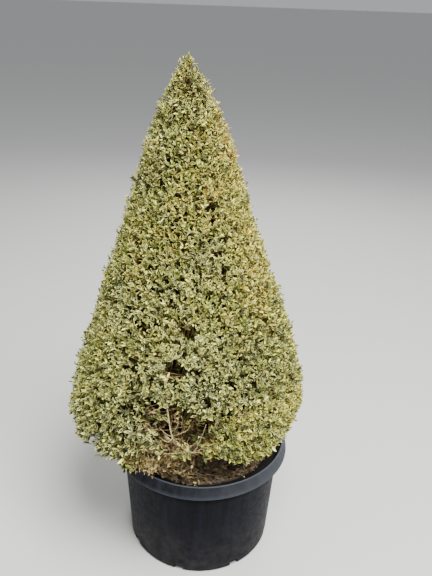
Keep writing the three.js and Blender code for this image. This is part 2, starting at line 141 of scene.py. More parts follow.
def hump(value: Array, middle: float, reach: float) -> Array:
    """1 where a value is at the middle, less the square of its distance as a share of the reach."""
    return np.clip(1 - ((value - middle) / reach) ** 2, 0, 1)


def xyz(x: Array, y: Array, z: Array) -> Array:
    """Places from their coordinates, which are first spread to one shape."""
    return np.stack(np.broadcast_arrays(x, y, z), axis=-1)


def unit(vectors: Array) -> Array:
    """Vectors scaled to a length of one."""
    return vectors / np.maximum(np.linalg.norm(vectors, axis=-1, keepdims=True), 1e-9)


def round_angles(count: int) -> Array:
    """Angles spread evenly round a circle."""
    return np.arange(count) * math.tau / count


def run_along(path: Array) -> Array:
    """Length of a path from its start to each of its places."""
    return np.concatenate([[0], np.cumsum(np.linalg.norm(np.diff(path, axis=0), axis=1))])


def across(axis: Array) -> tuple[Array, Array]:
    """Two directions square to each axis and to each other.

    Args:
        axis: Unit vectors, one in each row.

    Returns:
        The first and the second direction for each row.
    """
    helper = np.where(np.abs(axis[..., 2:]) > 0.9, np.array([1.0, 0.0, 0.0]), UP)
    first = unit(np.cross(helper, axis))
    return first, np.cross(axis, first)


@dataclass(frozen=True)
class SmoothCurve:
    """A smooth curve through (position, value) pairs.

    Between two neighbours it is a cubic. Its slopes come from the values on both sides, weighed by how
    far away these stand, and it has no curvature at its two ends.
    """

    pairs: tuple[tuple[float, float], ...]

    def __call__(self, at: Array) -> Array:
        """The values of the curve.

        Args:
            at: Positions, which are held to the curve's ends.

        Returns:
            One value for each position.
        """
        place, value = np.array(self.pairs).T
        last = len(place) - 1
        x = np.clip(at, place[0], place[-1])
        high = np.clip(np.searchsorted(place, x, side="right"), 1, last)
        low = high - 1
        before = np.where(low > 0, low - 1, high)
        after = np.where(high < last, high + 1, low)
        half = (place[high] - place[low]) / 2
        back = half / (place[low] - place[before])
        ahead = half / (place[after] - place[high])
        p = (x - place[low]) / (place[high] - place[low])
        weights = (
            (before, -back * p ** 3 + 2 * back * p ** 2 - back * p),
            (low, (1 + back) * p ** 3 + (-1.5 - 2 * back) * p ** 2 + (-0.5 + back) * p + 1),
            (high, (-1 - ahead) * p ** 3 + (1.5 + ahead) * p ** 2 + 0.5 * p),
            (after, ahead * p ** 3 - ahead * p ** 2),
        )
        return sum(value[index] * weight for index, weight in weights)


@dataclass(frozen=True)
class Grain:
    """Smooth random numbers from -1 to 1 over space.

    Random values sit on a cubic lattice that repeats, and a point takes the eased mix of the eight round
    it.
    """

    seed: int
    cell: float
    lattice: int = 32

    def __call__(self, points: Array) -> Array:
        """The grain at each point.

        Args:
            points: Places, with X, Y and Z along the last axis.

        Returns:
            One number for each place.
        """
        table = np.random.default_rng(self.seed).uniform(-1, 1, (self.lattice,) * 3)
        scaled = points / self.cell
        low = np.floor(scaled).astype(int)
        part = scaled - low
        eased = part * part * (3 - 2 * part)
        total = np.zeros(points.shape[:-1])
        for corner in np.ndindex(2, 2, 2):
            weight = np.prod(np.where(corner, eased, 1 - eased), axis=-1)
            cell = (low + corner) % self.lattice
            total += weight * table[cell[..., 0], cell[..., 1], cell[..., 2]]
        return total


def path_through(points: Route, count: int) -> Array:
    """A smooth path through points given in millimetres.

    Each coordinate is a smooth curve over the length of the straight lines between the points.

    Args:
        points: The places that the path passes.
        count: How many places to return, evenly spaced.

    Returns:
        Places along the path in metres, one in each row.
    """
    places = np.array(points) * MM
    run = run_along(places)
    at = np.linspace(0, run[-1], count)
    columns = [SmoothCurve(tuple(zip(run, places[:, axis])))(at) for axis in range(3)]
    return np.stack(columns, axis=-1)


@dataclass(frozen=True)
class Surface:
    """Points and faces of one mesh; each array in faces holds faces of one number of sides."""

    points: Array
    faces: tuple[Array, ...]

    def piece(self, name: str, material: bpy.types.Material, slot: Slot, nodes: tuple[str, ...] = (),
              smooth: bool = False) -> bpy.types.Object:
        """Puts the surface into a mesh object that rides on the part's one body.

        Args:
            name: Name of the piece.
            material: What it is made of.
            slot: The record's slot for its finish; not used.
            nodes: The solids that it stands for.
            smooth: Whether its faces are shaded as one smooth surface.

        Returns:
            The new object.
        """
        sides = np.concatenate([np.full(len(group), group.shape[1]) for group in self.faces])
        corners = np.concatenate([group.ravel() for group in self.faces])
        mesh = bpy.data.meshes.new(name)
        mesh.vertices.add(len(self.points))
        mesh.vertices.foreach_set("co", self.points.astype(np.float32).ravel())
        mesh.loops.add(len(corners))
        mesh.loops.foreach_set("vertex_index", corners.astype(np.int32))
        mesh.polygons.add(len(sides))
        mesh.polygons.foreach_set("loop_start", (np.cumsum(sides) - sides).astype(np.int32))
        mesh.polygons.foreach_set("use_smooth", np.full(len(sides), smooth))
        mesh.update(calc_edges=True)
        mesh.materials.append(material)
        piece = bpy.data.objects.new(name, mesh)
        bpy.context.scene.collection.objects.link(piece)
        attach(piece, "root")
        if nodes:
            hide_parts(*nodes)
        log.info("%s: %d triangles", name, int((sides - 2).sum()))
        return piece


def joined(surfaces: list[Surface]) -> Surface:
    """Several surfaces as one.

    Args:
        surfaces: The surfaces, each with its own points.

    Returns:
        One surface that holds them all.
    """
    starts = np.cumsum([0] + [len(surface.points) for surface in surfaces])
    faces = [group + start for surface, start in zip(surfaces, starts) for group in surface.faces]
    return Surface(np.concatenate([surface.points for surface in surfaces]), tuple(faces))


def faced_outwards(piece: bpy.types.Object) -> None:
    """Turns the faces of a closed piece to point outwards.

    Args:
        piece: The mesh object.
    """
    work = bmesh.new()
    work.from_mesh(piece.data)
    bmesh.ops.recalc_face_normals(work, faces=work.faces)
    work.to_mesh(piece.data)
    work.free()


def ring_faces(index: Array) -> Array:
    """Four-sided faces between neighbouring rings of points, each ring closed on itself.

    Args:
        index: Numbers of the points, with the rings along the last axis but one.

    Returns:
        The faces, with their corners along a new last axis.
    """
    beside = np.roll(index, -1, axis=-1)
    return np.stack([index[..., :-1, :], beside[..., :-1, :], beside[..., 1:, :], index[..., 1:, :]], axis=-1)


def tubes(paths: Array, radii: Array, sides: int) -> Surface:
    """Tapering tubes along many paths at once, closed at both ends.

    Each ring is a polygon square to its path, and neighbouring rings are joined by four-sided faces.

    Args:
        paths: Places along each path, (tubes, steps, 3).
        radii: The radius at each place, (tubes, steps), or one row for all the tubes.
        sides: Number of sides of each ring.

    Returns:
        All the tubes as one surface.
    """
    count, steps, _ = paths.shape
    tangent = unit(np.gradient(paths, axis=1))
    first, _ = across(unit(paths[:, -1] - paths[:, 0]))
    first = unit(first[:, None] - tangent * (first[:, None] * tangent).sum(-1, keepdims=True))
    second = np.cross(tangent, first)
    angle = round_angles(sides)[:, None]
    ring = np.cos(angle) * first[:, :, None] + np.sin(angle) * second[:, :, None]
    points = paths[:, :, None] + np.broadcast_to(radii, (count, steps))[..., None, None] * ring
    index = np.arange(count * steps * sides).reshape(count, steps, sides)
    return Surface(points.reshape(-1, 3), (ring_faces(index).reshape(-1, 4), index[:, 0, ::-1], index[:, -1]))


def bends(start: Array, end: Array, sag: Array, steps: int) -> Array:
    """Curved paths between pairs of places.

    Each is a parabola through the start and the end, whose middle is moved by the sag.

    Args:
        start: Where each path starts.
        end: Where each path ends.
        sag: How far the middle of each path is moved.
        steps: Number of places along each path.

    Returns:
        The places, (paths, steps, 3).
    """
    share = np.linspace(0, 1, steps)[None, :, None]
    return mix(start[:, None], end[:, None], share) + 4 * share * (1 - share) * sag[:, None]


class Bench:
    """A node material under construction."""

    def __init__(self, name: str) -> None:
        """Starts a material with its shader.

        Args:
            name: Name of the material.
        """
        self.material = bpy.data.materials.new(name)
        self.material.use_nodes = True
        self.nodes = self.material.node_tree.nodes
        self.shader = self.nodes["Principled BSDF"]
        self.place = self.node("ShaderNodeTexCoord", {}).outputs["Object"]

    def give(self, target: Socket, value: Socket | str | float | tuple[float, ...]) -> None:
        """Links a socket to another one, or sets it to a colour code, a number or a vector.

        Args:
            target: The socket that takes the value.
            value: What it takes.
        """
        if isinstance(value, bpy.types.NodeSocket):
            self.material.node_tree.links.new(value, target)
        else:
            target.default_value = linear(value) if isinstance(value, str) else value

    def node(self, kind: str, inputs: dict[str | int, object], **settings: str) -> bpy.types.Node:
        """Adds a node.

        Args:
            kind: Blender's name for the node.
            inputs: What its sockets take, by their names or numbers.
            settings: Values of its properties.

        Returns:
            The node.
        """
        node = self.nodes.new(kind)
        for name, value in settings.items():
            setattr(node, name, value)
        for name, value in inputs.items():
            self.give(node.inputs[name], value)
        return node

    def split(self) -> tuple[Socket, Socket, Socket]:
        """The X, Y and Z of the place on the object."""
        return tuple(self.node("ShaderNodeSeparateXYZ", {0: self.place}).outputs)

    def noise(self, scale: float, stretch: tuple[float, float, float] = (1, 1, 1), detail: float = 4,
              roughness: float = 0.55) -> Socket:
        """Noise over the object's own coordinates.

        Args:
            scale: Features for each metre.
            stretch: How much finer than that it is along X, Y and Z.
            detail: Number of octaves.
            roughness: Strength of the finer octaves.

        Returns:
            The socket with its value from 0 to 1.
        """
        mapping = self.node("ShaderNodeMapping", {"Scale": stretch, "Vector": self.place})
        inputs = {"Scale": scale, "Detail": detail, "Roughness": roughness}
        noise = self.node("ShaderNodeTexNoise", inputs | {"Vector": mapping.outputs["Vector"]})
        return noise.outputs["Fac"]

    def ramp(self, value: Socket, stops: dict[float, str]) -> Socket:
        """Colours over a value.

        Args:
            value: The socket that chooses the colour.
            stops: Colour codes by their place from 0 to 1.

        Returns:
            The socket with the colour.
        """
        ramp = self.node("ShaderNodeValToRGB", {"Fac": value})
        elements = ramp.color_ramp.elements
        while len(elements) < len(stops):
            elements.new(0.5)
        for element, (place, code) in zip(elements, sorted(stops.items())):
            element.position = place
            element.color = linear(code)
        return ramp.outputs["Color"]

    def span(self, value: Socket, low: float, high: float, start: float = 0, end: float = 1) -> Socket:
        """Maps one range of a value evenly to another, and holds it there.

        Args:
            value: The socket to map.
            low: Value that becomes start.
            high: Value that becomes end.
            start: First end of the new range.
            end: Last end of the new range.

        Returns:
            The mapped socket.
        """
        inputs = {"Value": value, "From Min": low, "From Max": high, "To Min": start, "To Max": end}
        return self.node("ShaderNodeMapRange", inputs).outputs["Result"]

    def times(self, first: Socket, second: Socket) -> Socket:
        """The product of two values."""
        return self.node("ShaderNodeMath", {0: first, 1: second}, operation="MULTIPLY").outputs[0]

    def blend(self, share: Socket, first: Socket, second: Socket | str) -> Socket:
        """A mix of two colours.

        Args:
            share: The share of the second colour.
            first: The first colour.
            second: The second colour, as a socket or a colour code.

        Returns:
            The socket with the mixed colour.
        """
        return self.node("ShaderNodeMix", {0: share, 6: first, 7: second}, data_type="RGBA").outputs[2]

    def bump(self, height: Socket, depth: float, strength: float = 1.0) -> None:
        """Roughens the shading by a height.

        Args:
            height: The socket with the relief from 0 to 1.
            depth: How deep the relief is, in metres.
            strength: How strongly it shows.
        """
        node = self.node("ShaderNodeBump", {"Distance": depth, "Strength": strength, "Height": height})
        self.give(self.shader.inputs["Normal"], node.outputs["Normal"])

    def dress(self, colour: Socket | str, roughness: Socket | float, gloss: Socket | float = 0.5) -> None:
        """Gives the shader its colour and sheen.

        Args:
            colour: Its colour.
            roughness: How rough it is.
            gloss: How strongly it reflects.
        """
        finish = {"Base Color": colour, "Roughness": roughness, "Specular IOR Level": gloss}
        for name, value in finish.items():
            self.give(self.shader.inputs[name], value)


@dataclass(frozen=True)
class PlainFinish:
    """One even colour, for leaves and chips that are dealt out by colour, and for the floor."""

    name: str
    code: str
    roughness: float = 0.5
    gloss: float = 0.22

    def material(self) -> bpy.types.Material:
        """Makes the material.

        Returns:
            The material.
        """
        bench = Bench(self.name)
        bench.dress(self.code, self.roughness, self.gloss)
        return bench.material


@dataclass(frozen=True)
class PlasticFinish:
    """Charcoal moulded plastic, with upright streaks, scuffs and dust, and painted light, highlights and
    shade.

    Ranges of noise are a low end and a high end from 0 to 1, and heights and places are in metres.
    """

    name: str = "charcoal_plastic"
    # The body's tones are darker than the band's: painted shade under the band's overhang, on the same
    # plastic.
    body: tuple[str, str] = ("07080d", "13151e")
    band: tuple[str, str] = ("16181b", "2c2e34")
    streak_range: tuple[float, float] = (0.32, 0.7)
    streak_stretch: tuple[float, float, float] = (1, 1, 0.06)
    # Painted shadow: near black on the body just under the band, with less reflection there.
    grime: str = "020204"
    grime_height: float = 0.238
    grime_most: float = 0.8
    band_foot: float = 0.2735
    band_edge: float = 0.0006
    # Painted light: the band grows lighter towards the right.
    faded: str = "474a4f"
    faded_across: tuple[float, float] = (-0.02, 0.2)
    faded_most: float = 0.65
    # Painted highlight along the band's lower edge.
    rubbed: str = "43464d"
    rubbed_height: float = 0.2855
    rubbed_most: float = 0.8
    # Painted highlight along the top of the lip.
    lip: str = "505359"
    lip_foot: float = 0.3042
    lip_edge: float = 0.0008
    scuff: str = "3f4147"
    scuff_stretch: tuple[float, float, float] = (1, 1, 0.12)
    scuff_range: tuple[float, float] = (0.66, 0.74)
    scuff_most: float = 0.5
    dust: str = "5f5b55"
    dust_height: float = 0.17
    dust_most: float = 0.36
    dust_across: tuple[float, float] = (0.2, -0.2)
    dust_at_right: float = 0.55
    dust_range: tuple[float, float] = (0.35, 0.72)
    gloss: float = 0.07
    roughness: tuple[float, float] = (0.42, 0.62)

    def material(self) -> bpy.types.Material:
        """Makes the material.

        Returns:
            The material.
        """
        bench = Bench(self.name)
        x, _, z = bench.split()
        streaks = bench.noise(60, self.streak_stretch, detail=5)
        on_band = bench.span(z, self.band_foot, self.band_foot + self.band_edge)
        # Painted shadow under the band: the body darkens towards the band's foot.
        under = bench.span(z, self.grime_height, self.band_foot, 0, self.grime_most)
        body = bench.blend(under, bench.ramp(streaks, dict(zip(self.streak_range, self.body))), self.grime)
        band = bench.ramp(streaks, dict(zip(self.streak_range, self.band)))
        # Painted light on the band, lighter towards the right.
        band = bench.blend(bench.span(x, *self.faded_across, 0, self.faded_most), band, self.faded)
        # Painted highlight, lightest at the band's lower edge.
        band_highlight_share = bench.span(z, self.rubbed_height, self.band_foot, 0, self.rubbed_most)
        colour = bench.blend(on_band, body, bench.blend(band_highlight_share, band, self.rubbed))
        # Painted highlight on the top of the lip.
        on_lip_highlight = bench.span(z, self.lip_foot, self.lip_foot + self.lip_edge)
        colour = bench.blend(on_lip_highlight, colour, self.lip)
        scratches = bench.noise(170, self.scuff_stretch, detail=6, roughness=0.7)
        colour = bench.blend(bench.span(scratches, *self.scuff_range, 0, self.scuff_most), colour, self.scuff)
        low = bench.span(z, self.dust_height, 0, 0, self.dust_most)
        left = bench.span(x, *self.dust_across, self.dust_at_right, 1)
        cloud = bench.span(bench.noise(26, detail=6, roughness=0.65), *self.dust_range)
        colour = bench.blend(bench.times(bench.times(low, left), cloud), colour, self.dust)
        # Less reflection in the painted shadow under the band, so that it reads darker.
        below_band = bench.span(z, self.band_foot, self.band_foot + self.band_edge, 1, 0)
        gloss = bench.span(bench.times(under, below_band), 0, self.grime_most, self.gloss, 0)
        bench.dress(colour, bench.span(bench.noise(90, detail=5), 0.3, 0.7, *self.roughness), gloss)
        bench.bump(bench.noise(900, detail=2), 0.00015, 0.5)
        return bench.material


@dataclass(frozen=True)
class SoilFinish:
    """Damp brown potting mix, with painted shade near black along the planter's wall, and darker low down."""

    name: str = "bark_mix"
    # Near black, for the painted shade along the wall and for the soil low down.
    wet: str = "0c0908"
    dark: str = "261b14"
    middle: str = "867660"
    light: str = "c8b89d"
    wall_radii: tuple[float, float] = (0.173, 0.182)
    wet_heights: tuple[float, float] = (0.27, 0.25)
    roughness: float = 0.95
    relief: float = 0.002

    def material(self) -> bpy.types.Material:
        """Makes the material.

        Returns:
            The material.
        """
        bench = Bench(self.name)
        colour = bench.ramp(bench.noise(190, detail=8, roughness=0.7),
                            {0.34: self.dark, 0.52: self.middle, 0.7: self.light})
        flat = bench.node("ShaderNodeVectorMath", {0: bench.place, 1: (1, 1, 0)}, operation="MULTIPLY")
        reach = bench.node("ShaderNodeVectorMath", {0: flat.outputs["Vector"]}, operation="LENGTH")
        # Painted shade: near black along the planter's wall.
        colour = bench.blend(bench.span(reach.outputs["Value"], *self.wall_radii), colour, self.wet)
        colour = bench.blend(bench.span(bench.split()[2], *self.wet_heights), colour, self.wet)
        bench.dress(colour, self.roughness)
        bench.bump(bench.noise(420, detail=6, roughness=0.7), self.relief)
        return bench.material


@dataclass(frozen=True)
class BarkFinish:
    """Thin bark in two tones, drawn out along the limb, with fine cracks."""

    name: str
    dark: str
    light: str
    stretch: tuple[float, float, float] = (1, 1, 0.25)
    roughness: float = 0.85
    relief: float = 0.0006

    def material(self) -> bpy.types.Material:
        """Makes the material.

        Returns:
            The material.
        """
        bench = Bench(self.name)
        tones = bench.noise(260, self.stretch, detail=6, roughness=0.7)
        bench.dress(bench.ramp(tones, {0.36: self.dark, 0.62: self.light}), self.roughness)
        bench.bump(bench.noise(700, self.stretch, detail=5), self.relief)
        return bench.material


def polar(radius: Array, angle: Array, height: Array) -> Array:
    """Places at a distance from the upright axis, an angle round it and a height."""
    return xyz(radius * np.cos(angle), radius * np.sin(angle), height)


def carried(local: Array, origin: Array, axes: tuple[Array, Array, Array]) -> Array:
    """Many small shapes, each laid along three axes of its own from its own place."""
    return origin[:, None] + np.einsum("nki,nij->nkj", local, np.stack(axes, axis=1))


def arc(centre: tuple[float, float], radius: float, start: float, end: float, count: int) -> Array:
    """Places on a round stretch of a profile.

    Args:
        centre: Middle of the arc, as distance from the axis and height.
        radius: Radius of the arc.
        start: Angle of its first place in degrees, from outwards towards up.
        end: Angle of its last place.
        count: Number of places.

    Returns:
        Distance from the axis and height, one place in each row.
    """
    angle = np.radians(np.linspace(start, end, count))
    return np.array(centre) + radius * np.stack([np.cos(angle), np.sin(angle)], axis=-1)


@dataclass
class Planter:
    """The round planter: a thin tapering wall, a flared band below the lip and drain notches."""

    height: float = 0.308
    foot_radius: float = 0.190
    shoulder_radius: float = 0.205
    band_radius: float = 0.2265
    band_height: float = 0.034
    band_round: float = 0.0038
    lip_radius: float = 0.216
    lip_drop: float = 0.0022
    flare_hollow: float = 0.0012
    corner_round: float = 0.003
    edge_round: float = 0.007
    wall: float = 0.0032
    wall_rows: int = 16
    floor_radii: tuple[float, ...] = (0.012, 0.05, 0.1, 0.14)
    drain_count: int = 8
    drain_width: float = 0.024
    drain_height: float = 0.015
    drain_reach: float = 0.168
    drain_start: float = math.radians(-104)
    notch_columns: int = 4
    wall_columns: int = 22
    waver: float = 0.0009
    crease: float = math.radians(42)

    def wall_radius(self, height: Array) -> Array:
        """Outer radius of the planter's body at a height."""
        return mix(self.foot_radius, self.shoulder_radius, height / (self.height - self.band_height))

    def profile(self) -> Array:
        """The outer profile, from near the axis under the floor up to the lip.

        Returns:
            Distance from the axis and height, one place in each row.
        """
        band_foot = self.height - self.band_height
        foot_middle = (self.wall_radius(self.edge_round) - self.edge_round, self.edge_round)
        corner_middle = (self.shoulder_radius + self.corner_round, band_foot - self.corner_round)
        band_middle = (self.band_radius - self.band_round, band_foot + self.band_round)
        floor = [(radius, 0.0) for radius in (*self.floor_radii, self.drain_reach)]
        height = np.linspace(self.drain_height, band_foot - 2 * self.corner_round, self.wall_rows)
        wall = np.stack([self.wall_radius(height), height], axis=-1)
        corner = arc(corner_middle, self.corner_round, 180, 90, 4)
        edge = arc(band_middle, self.band_round, -90, 12, 7)
        share = np.linspace(0.12, 1, 8)[:, None]
        flare = mix(edge[-1], np.array([self.lip_radius, self.height - self.lip_drop]), share)
        flare[:, 0] -= self.flare_hollow * np.sin(math.pi * share[:, 0])
        bottom = arc(foot_middle, self.edge_round, -90, 0, 6)
        return np.concatenate([floor, bottom, wall, corner, edge, flare])

    def columns(self) -> Array:
        """Angles of the columns, with one on each side of every notch.

        Returns:
            The angles, from the first notch on.
        """
        half = self.drain_width / 2 / self.foot_radius
        period = math.tau / self.drain_count
        notch = np.linspace(-half, half, self.notch_columns, endpoint=False)
        rest = np.linspace(half, period - half, self.wall_columns, endpoint=False)
        turns = np.arange(self.drain_count)[:, None] * period
        return (self.drain_start + turns + np.concatenate([notch, rest])).ravel()

    def shell(self) -> Surface:
        """The wall as one closed surface.

        The outer profile is turned round the axis. The inner one is the same, moved inwards by the wall's
        thickness square to it, and a half circle joins the two over the lip. The cells of each notch are left
        out on both, and strips across the wall close its four sides.

        Returns:
            The surface.
        """
        outer = self.profile()
        along = unit(np.gradient(outer, axis=0))
        inner = outer + self.wall * np.stack([-along[:, 1], along[:, 0]], axis=-1)
        middle = (outer[-1] + inner[-1]) / 2
        spoke = outer[-1] - middle
        turn = np.linspace(0, math.pi, 6)[1:-1, None]
        lip = middle + np.cos(turn) * spoke + np.sin(turn) * np.array([-spoke[1], spoke[0]])
        angle = self.columns()
        points = self.turned(np.concatenate([outer, lip, inner[::-1]]), angle)
        width, last = len(angle), len(points) // len(angle) - 1
        index = np.arange(len(points)).reshape(-1, width)
        beside = np.roll(index, -1, axis=1)
        low = int(np.argmin(np.abs(outer[:, 0] - self.drain_reach) + outer[:, 1]))
        high = int(np.flatnonzero(outer[:, 1] >= self.drain_height - 1e-6)[0])
        step = self.notch_columns + self.wall_columns
        in_notch = np.arange(width) % step < self.notch_columns
        kept = np.ones((last, width), bool)
        kept[low:high, in_notch] = False
        kept[last - high:last - low, in_notch] = False
        strips = [ring_faces(index[[row, last - row]])[0, in_notch] for row in (low, high)]
        sides = np.concatenate([np.arange(0, width, step), np.arange(self.notch_columns, width, step)])
        row = np.arange(low, high)[:, None]
        edges = [index[place, sides] for place in (row, row + 1, last - row - 1, last - row)]
        strips.append(np.stack(edges, axis=-1).reshape(-1, 4))
        poles = np.array([[0, 0, 0], [0, 0, self.wall]])
        under = np.stack([beside[0], index[0], np.full(width, len(points))], axis=-1)
        over = np.stack([index[-1], beside[-1], np.full(width, len(points) + 1)], axis=-1)
        faces = (ring_faces(index)[kept], np.concatenate(strips), np.concatenate([under, over]))
        return Surface(np.concatenate([points, poles]), faces)

    def turned(self, rows: Array, angle: Array) -> Array:
        """Places of a profile turned round the axis, slightly out of round as a soft planter is.

        Args:
            rows: The profile, as distance from the axis and height.
            angle: Angles of the columns.

        Returns:
            The places, row by row.
        """
        radius, height = rows[:, :1], rows[:, 1:]
        loose = self.waver * np.clip(height / self.height, 0, 1)
        radius = radius + loose * (np.cos(2 * angle + 0.6) + 0.5 * np.cos(5 * angle + 2.1))
        return polar(radius, angle, height).reshape(-1, 3)

    def build(self) -> None:
        """Makes the planter."""
        pot = self.shell().piece("planter", PlasticFinish().material(), Slot.POT, ("pot",), smooth=True)
        faced_outwards(pot)
        pot.data.set_sharp_from_angle(angle=self.crease)


@dataclass(frozen=True)
class Rows:
    """Arrays of one length, with one row for each leaf or shoot."""

    @classmethod
    def gathered(cls, groups: list[Self]) -> Self:
        """The rows of several groups, one group after another."""
        columns = zip(*(vars(group).values() for group in groups))
        return cls(*(np.concatenate(column) for column in columns))

    def pick(self, mask: Array) -> Self:
        """Only the rows that the mask names."""
        return type(self)(*(values[mask] for values in vars(self).values()))


@dataclass(frozen=True)
class LeafPattern:
    """Part of a leaf's outline: corners as shares of its length and half width, and faces over them."""

    corners: tuple[tuple[float, float], ...]
    faces: tuple[tuple[tuple[int, ...], ...], ...]


# Corners run from the stalk along the right edge to the tip and back along the left edge
WHOLE_LEAF = LeafPattern(
    corners=((0, 0), (0.26, -0.84), (0.70, -0.92), (1, 0), (0.70, 0.92), (0.26, 0.84)),
    faces=(((0, 1, 2, 3), (0, 3, 4, 5)),),
)
LEAF_CENTRE = LeafPattern(
    corners=((0, 0), (0.55, -0.74), (0.92, 0), (0.55, 0.74)),
    faces=(((0, 1, 2), (0, 2, 3)),),
)
# The margin runs between the outline, corners 0 to 5, and the centre, corners 6 to 8
LEAF_MARGIN = LeafPattern(
    corners=WHOLE_LEAF.corners + LEAF_CENTRE.corners[1:],
    faces=(((0, 1, 6), (1, 2, 6), (0, 8, 5), (8, 4, 5)), ((2, 3, 7, 6), (3, 4, 8, 7))),
)


@dataclass(frozen=True)
class Leaves(Rows):
    """Many leaves as arrays, one row for each leaf."""

    root: Array
    along: Array
    normal: Array
    size: Array
    width: Array
    fold: Array
    curl: Array

    @classmethod
    def of(cls, root: Array, along: Array, normal: Array, size: Array, rng: Rng) -> Self:
        """Leaves with a random width, fold and curl.

        Args:
            root: Where each leaf is joined to its twig.
            along: Its direction from the stalk to the tip.
            normal: Direction that its upper side faces.
            size: Its length.
            rng: Source of random numbers.

        Returns:
            The leaves.
        """
        spans = ((0.15, 0.22), (0, 0.8), (-0.04, 0.30))
        width, fold, curl = (rng.uniform(*span, len(root)) for span in spans)
        return cls(root, along, normal, size, width, fold, curl)

    def surface(self, pattern: LeafPattern) -> Surface:
        """One part of every leaf as a surface.

        A corner lies at its share of the length along the leaf, and of the half width to its side. It is
        raised by the fold in proportion to that side step, and lowered by the curl times the square of the
        share of the length.

        Args:
            pattern: Which part of the leaf.

        Returns:
            The surface.
        """
        ahead, half = np.array(pattern.corners).T
        aside = half * self.width[:, None]
        raised = self.fold[:, None] * np.abs(aside) - self.curl[:, None] * ahead ** 2
        side = unit(np.cross(self.normal, self.along))
        local = xyz(ahead, aside, raised) * self.size[:, None, None]
        points = carried(local, self.root, (self.along, side, np.cross(self.along, side)))
        start = np.arange(len(self.root))[:, None, None] * len(ahead)
        faces = tuple((start + np.array(group)).reshape(-1, len(group[0])) for group in pattern.faces)
        return Surface(points.reshape(-1, 3), faces)

    def dry_pieces(self, word: str, pick: Array, ends: tuple[float, float],
                   nodes: tuple[str, ...] = ()) -> None:
        """Makes dead leaves into one piece for each of their colours.

        Args:
            word: First word of the names of their finishes and pieces.
            pick: A number from 0 to 1 for each leaf, which chooses its colour.
            ends: The numbers where straw ends and where tan ends.
            nodes: The solids that they stand for.
        """
        colour = np.searchsorted(ends, pick, side="right")
        for number, dry in enumerate(Dry):
            name = dry.name.lower()
            finish = PlainFinish(f"{word}_{name}", dry.value, 0.8).material()
            part = self.pick(colour == number).surface(WHOLE_LEAF)
            part.piece(f"{word}_leaves_{name}", finish, Slot.DRY_TWIG, nodes)


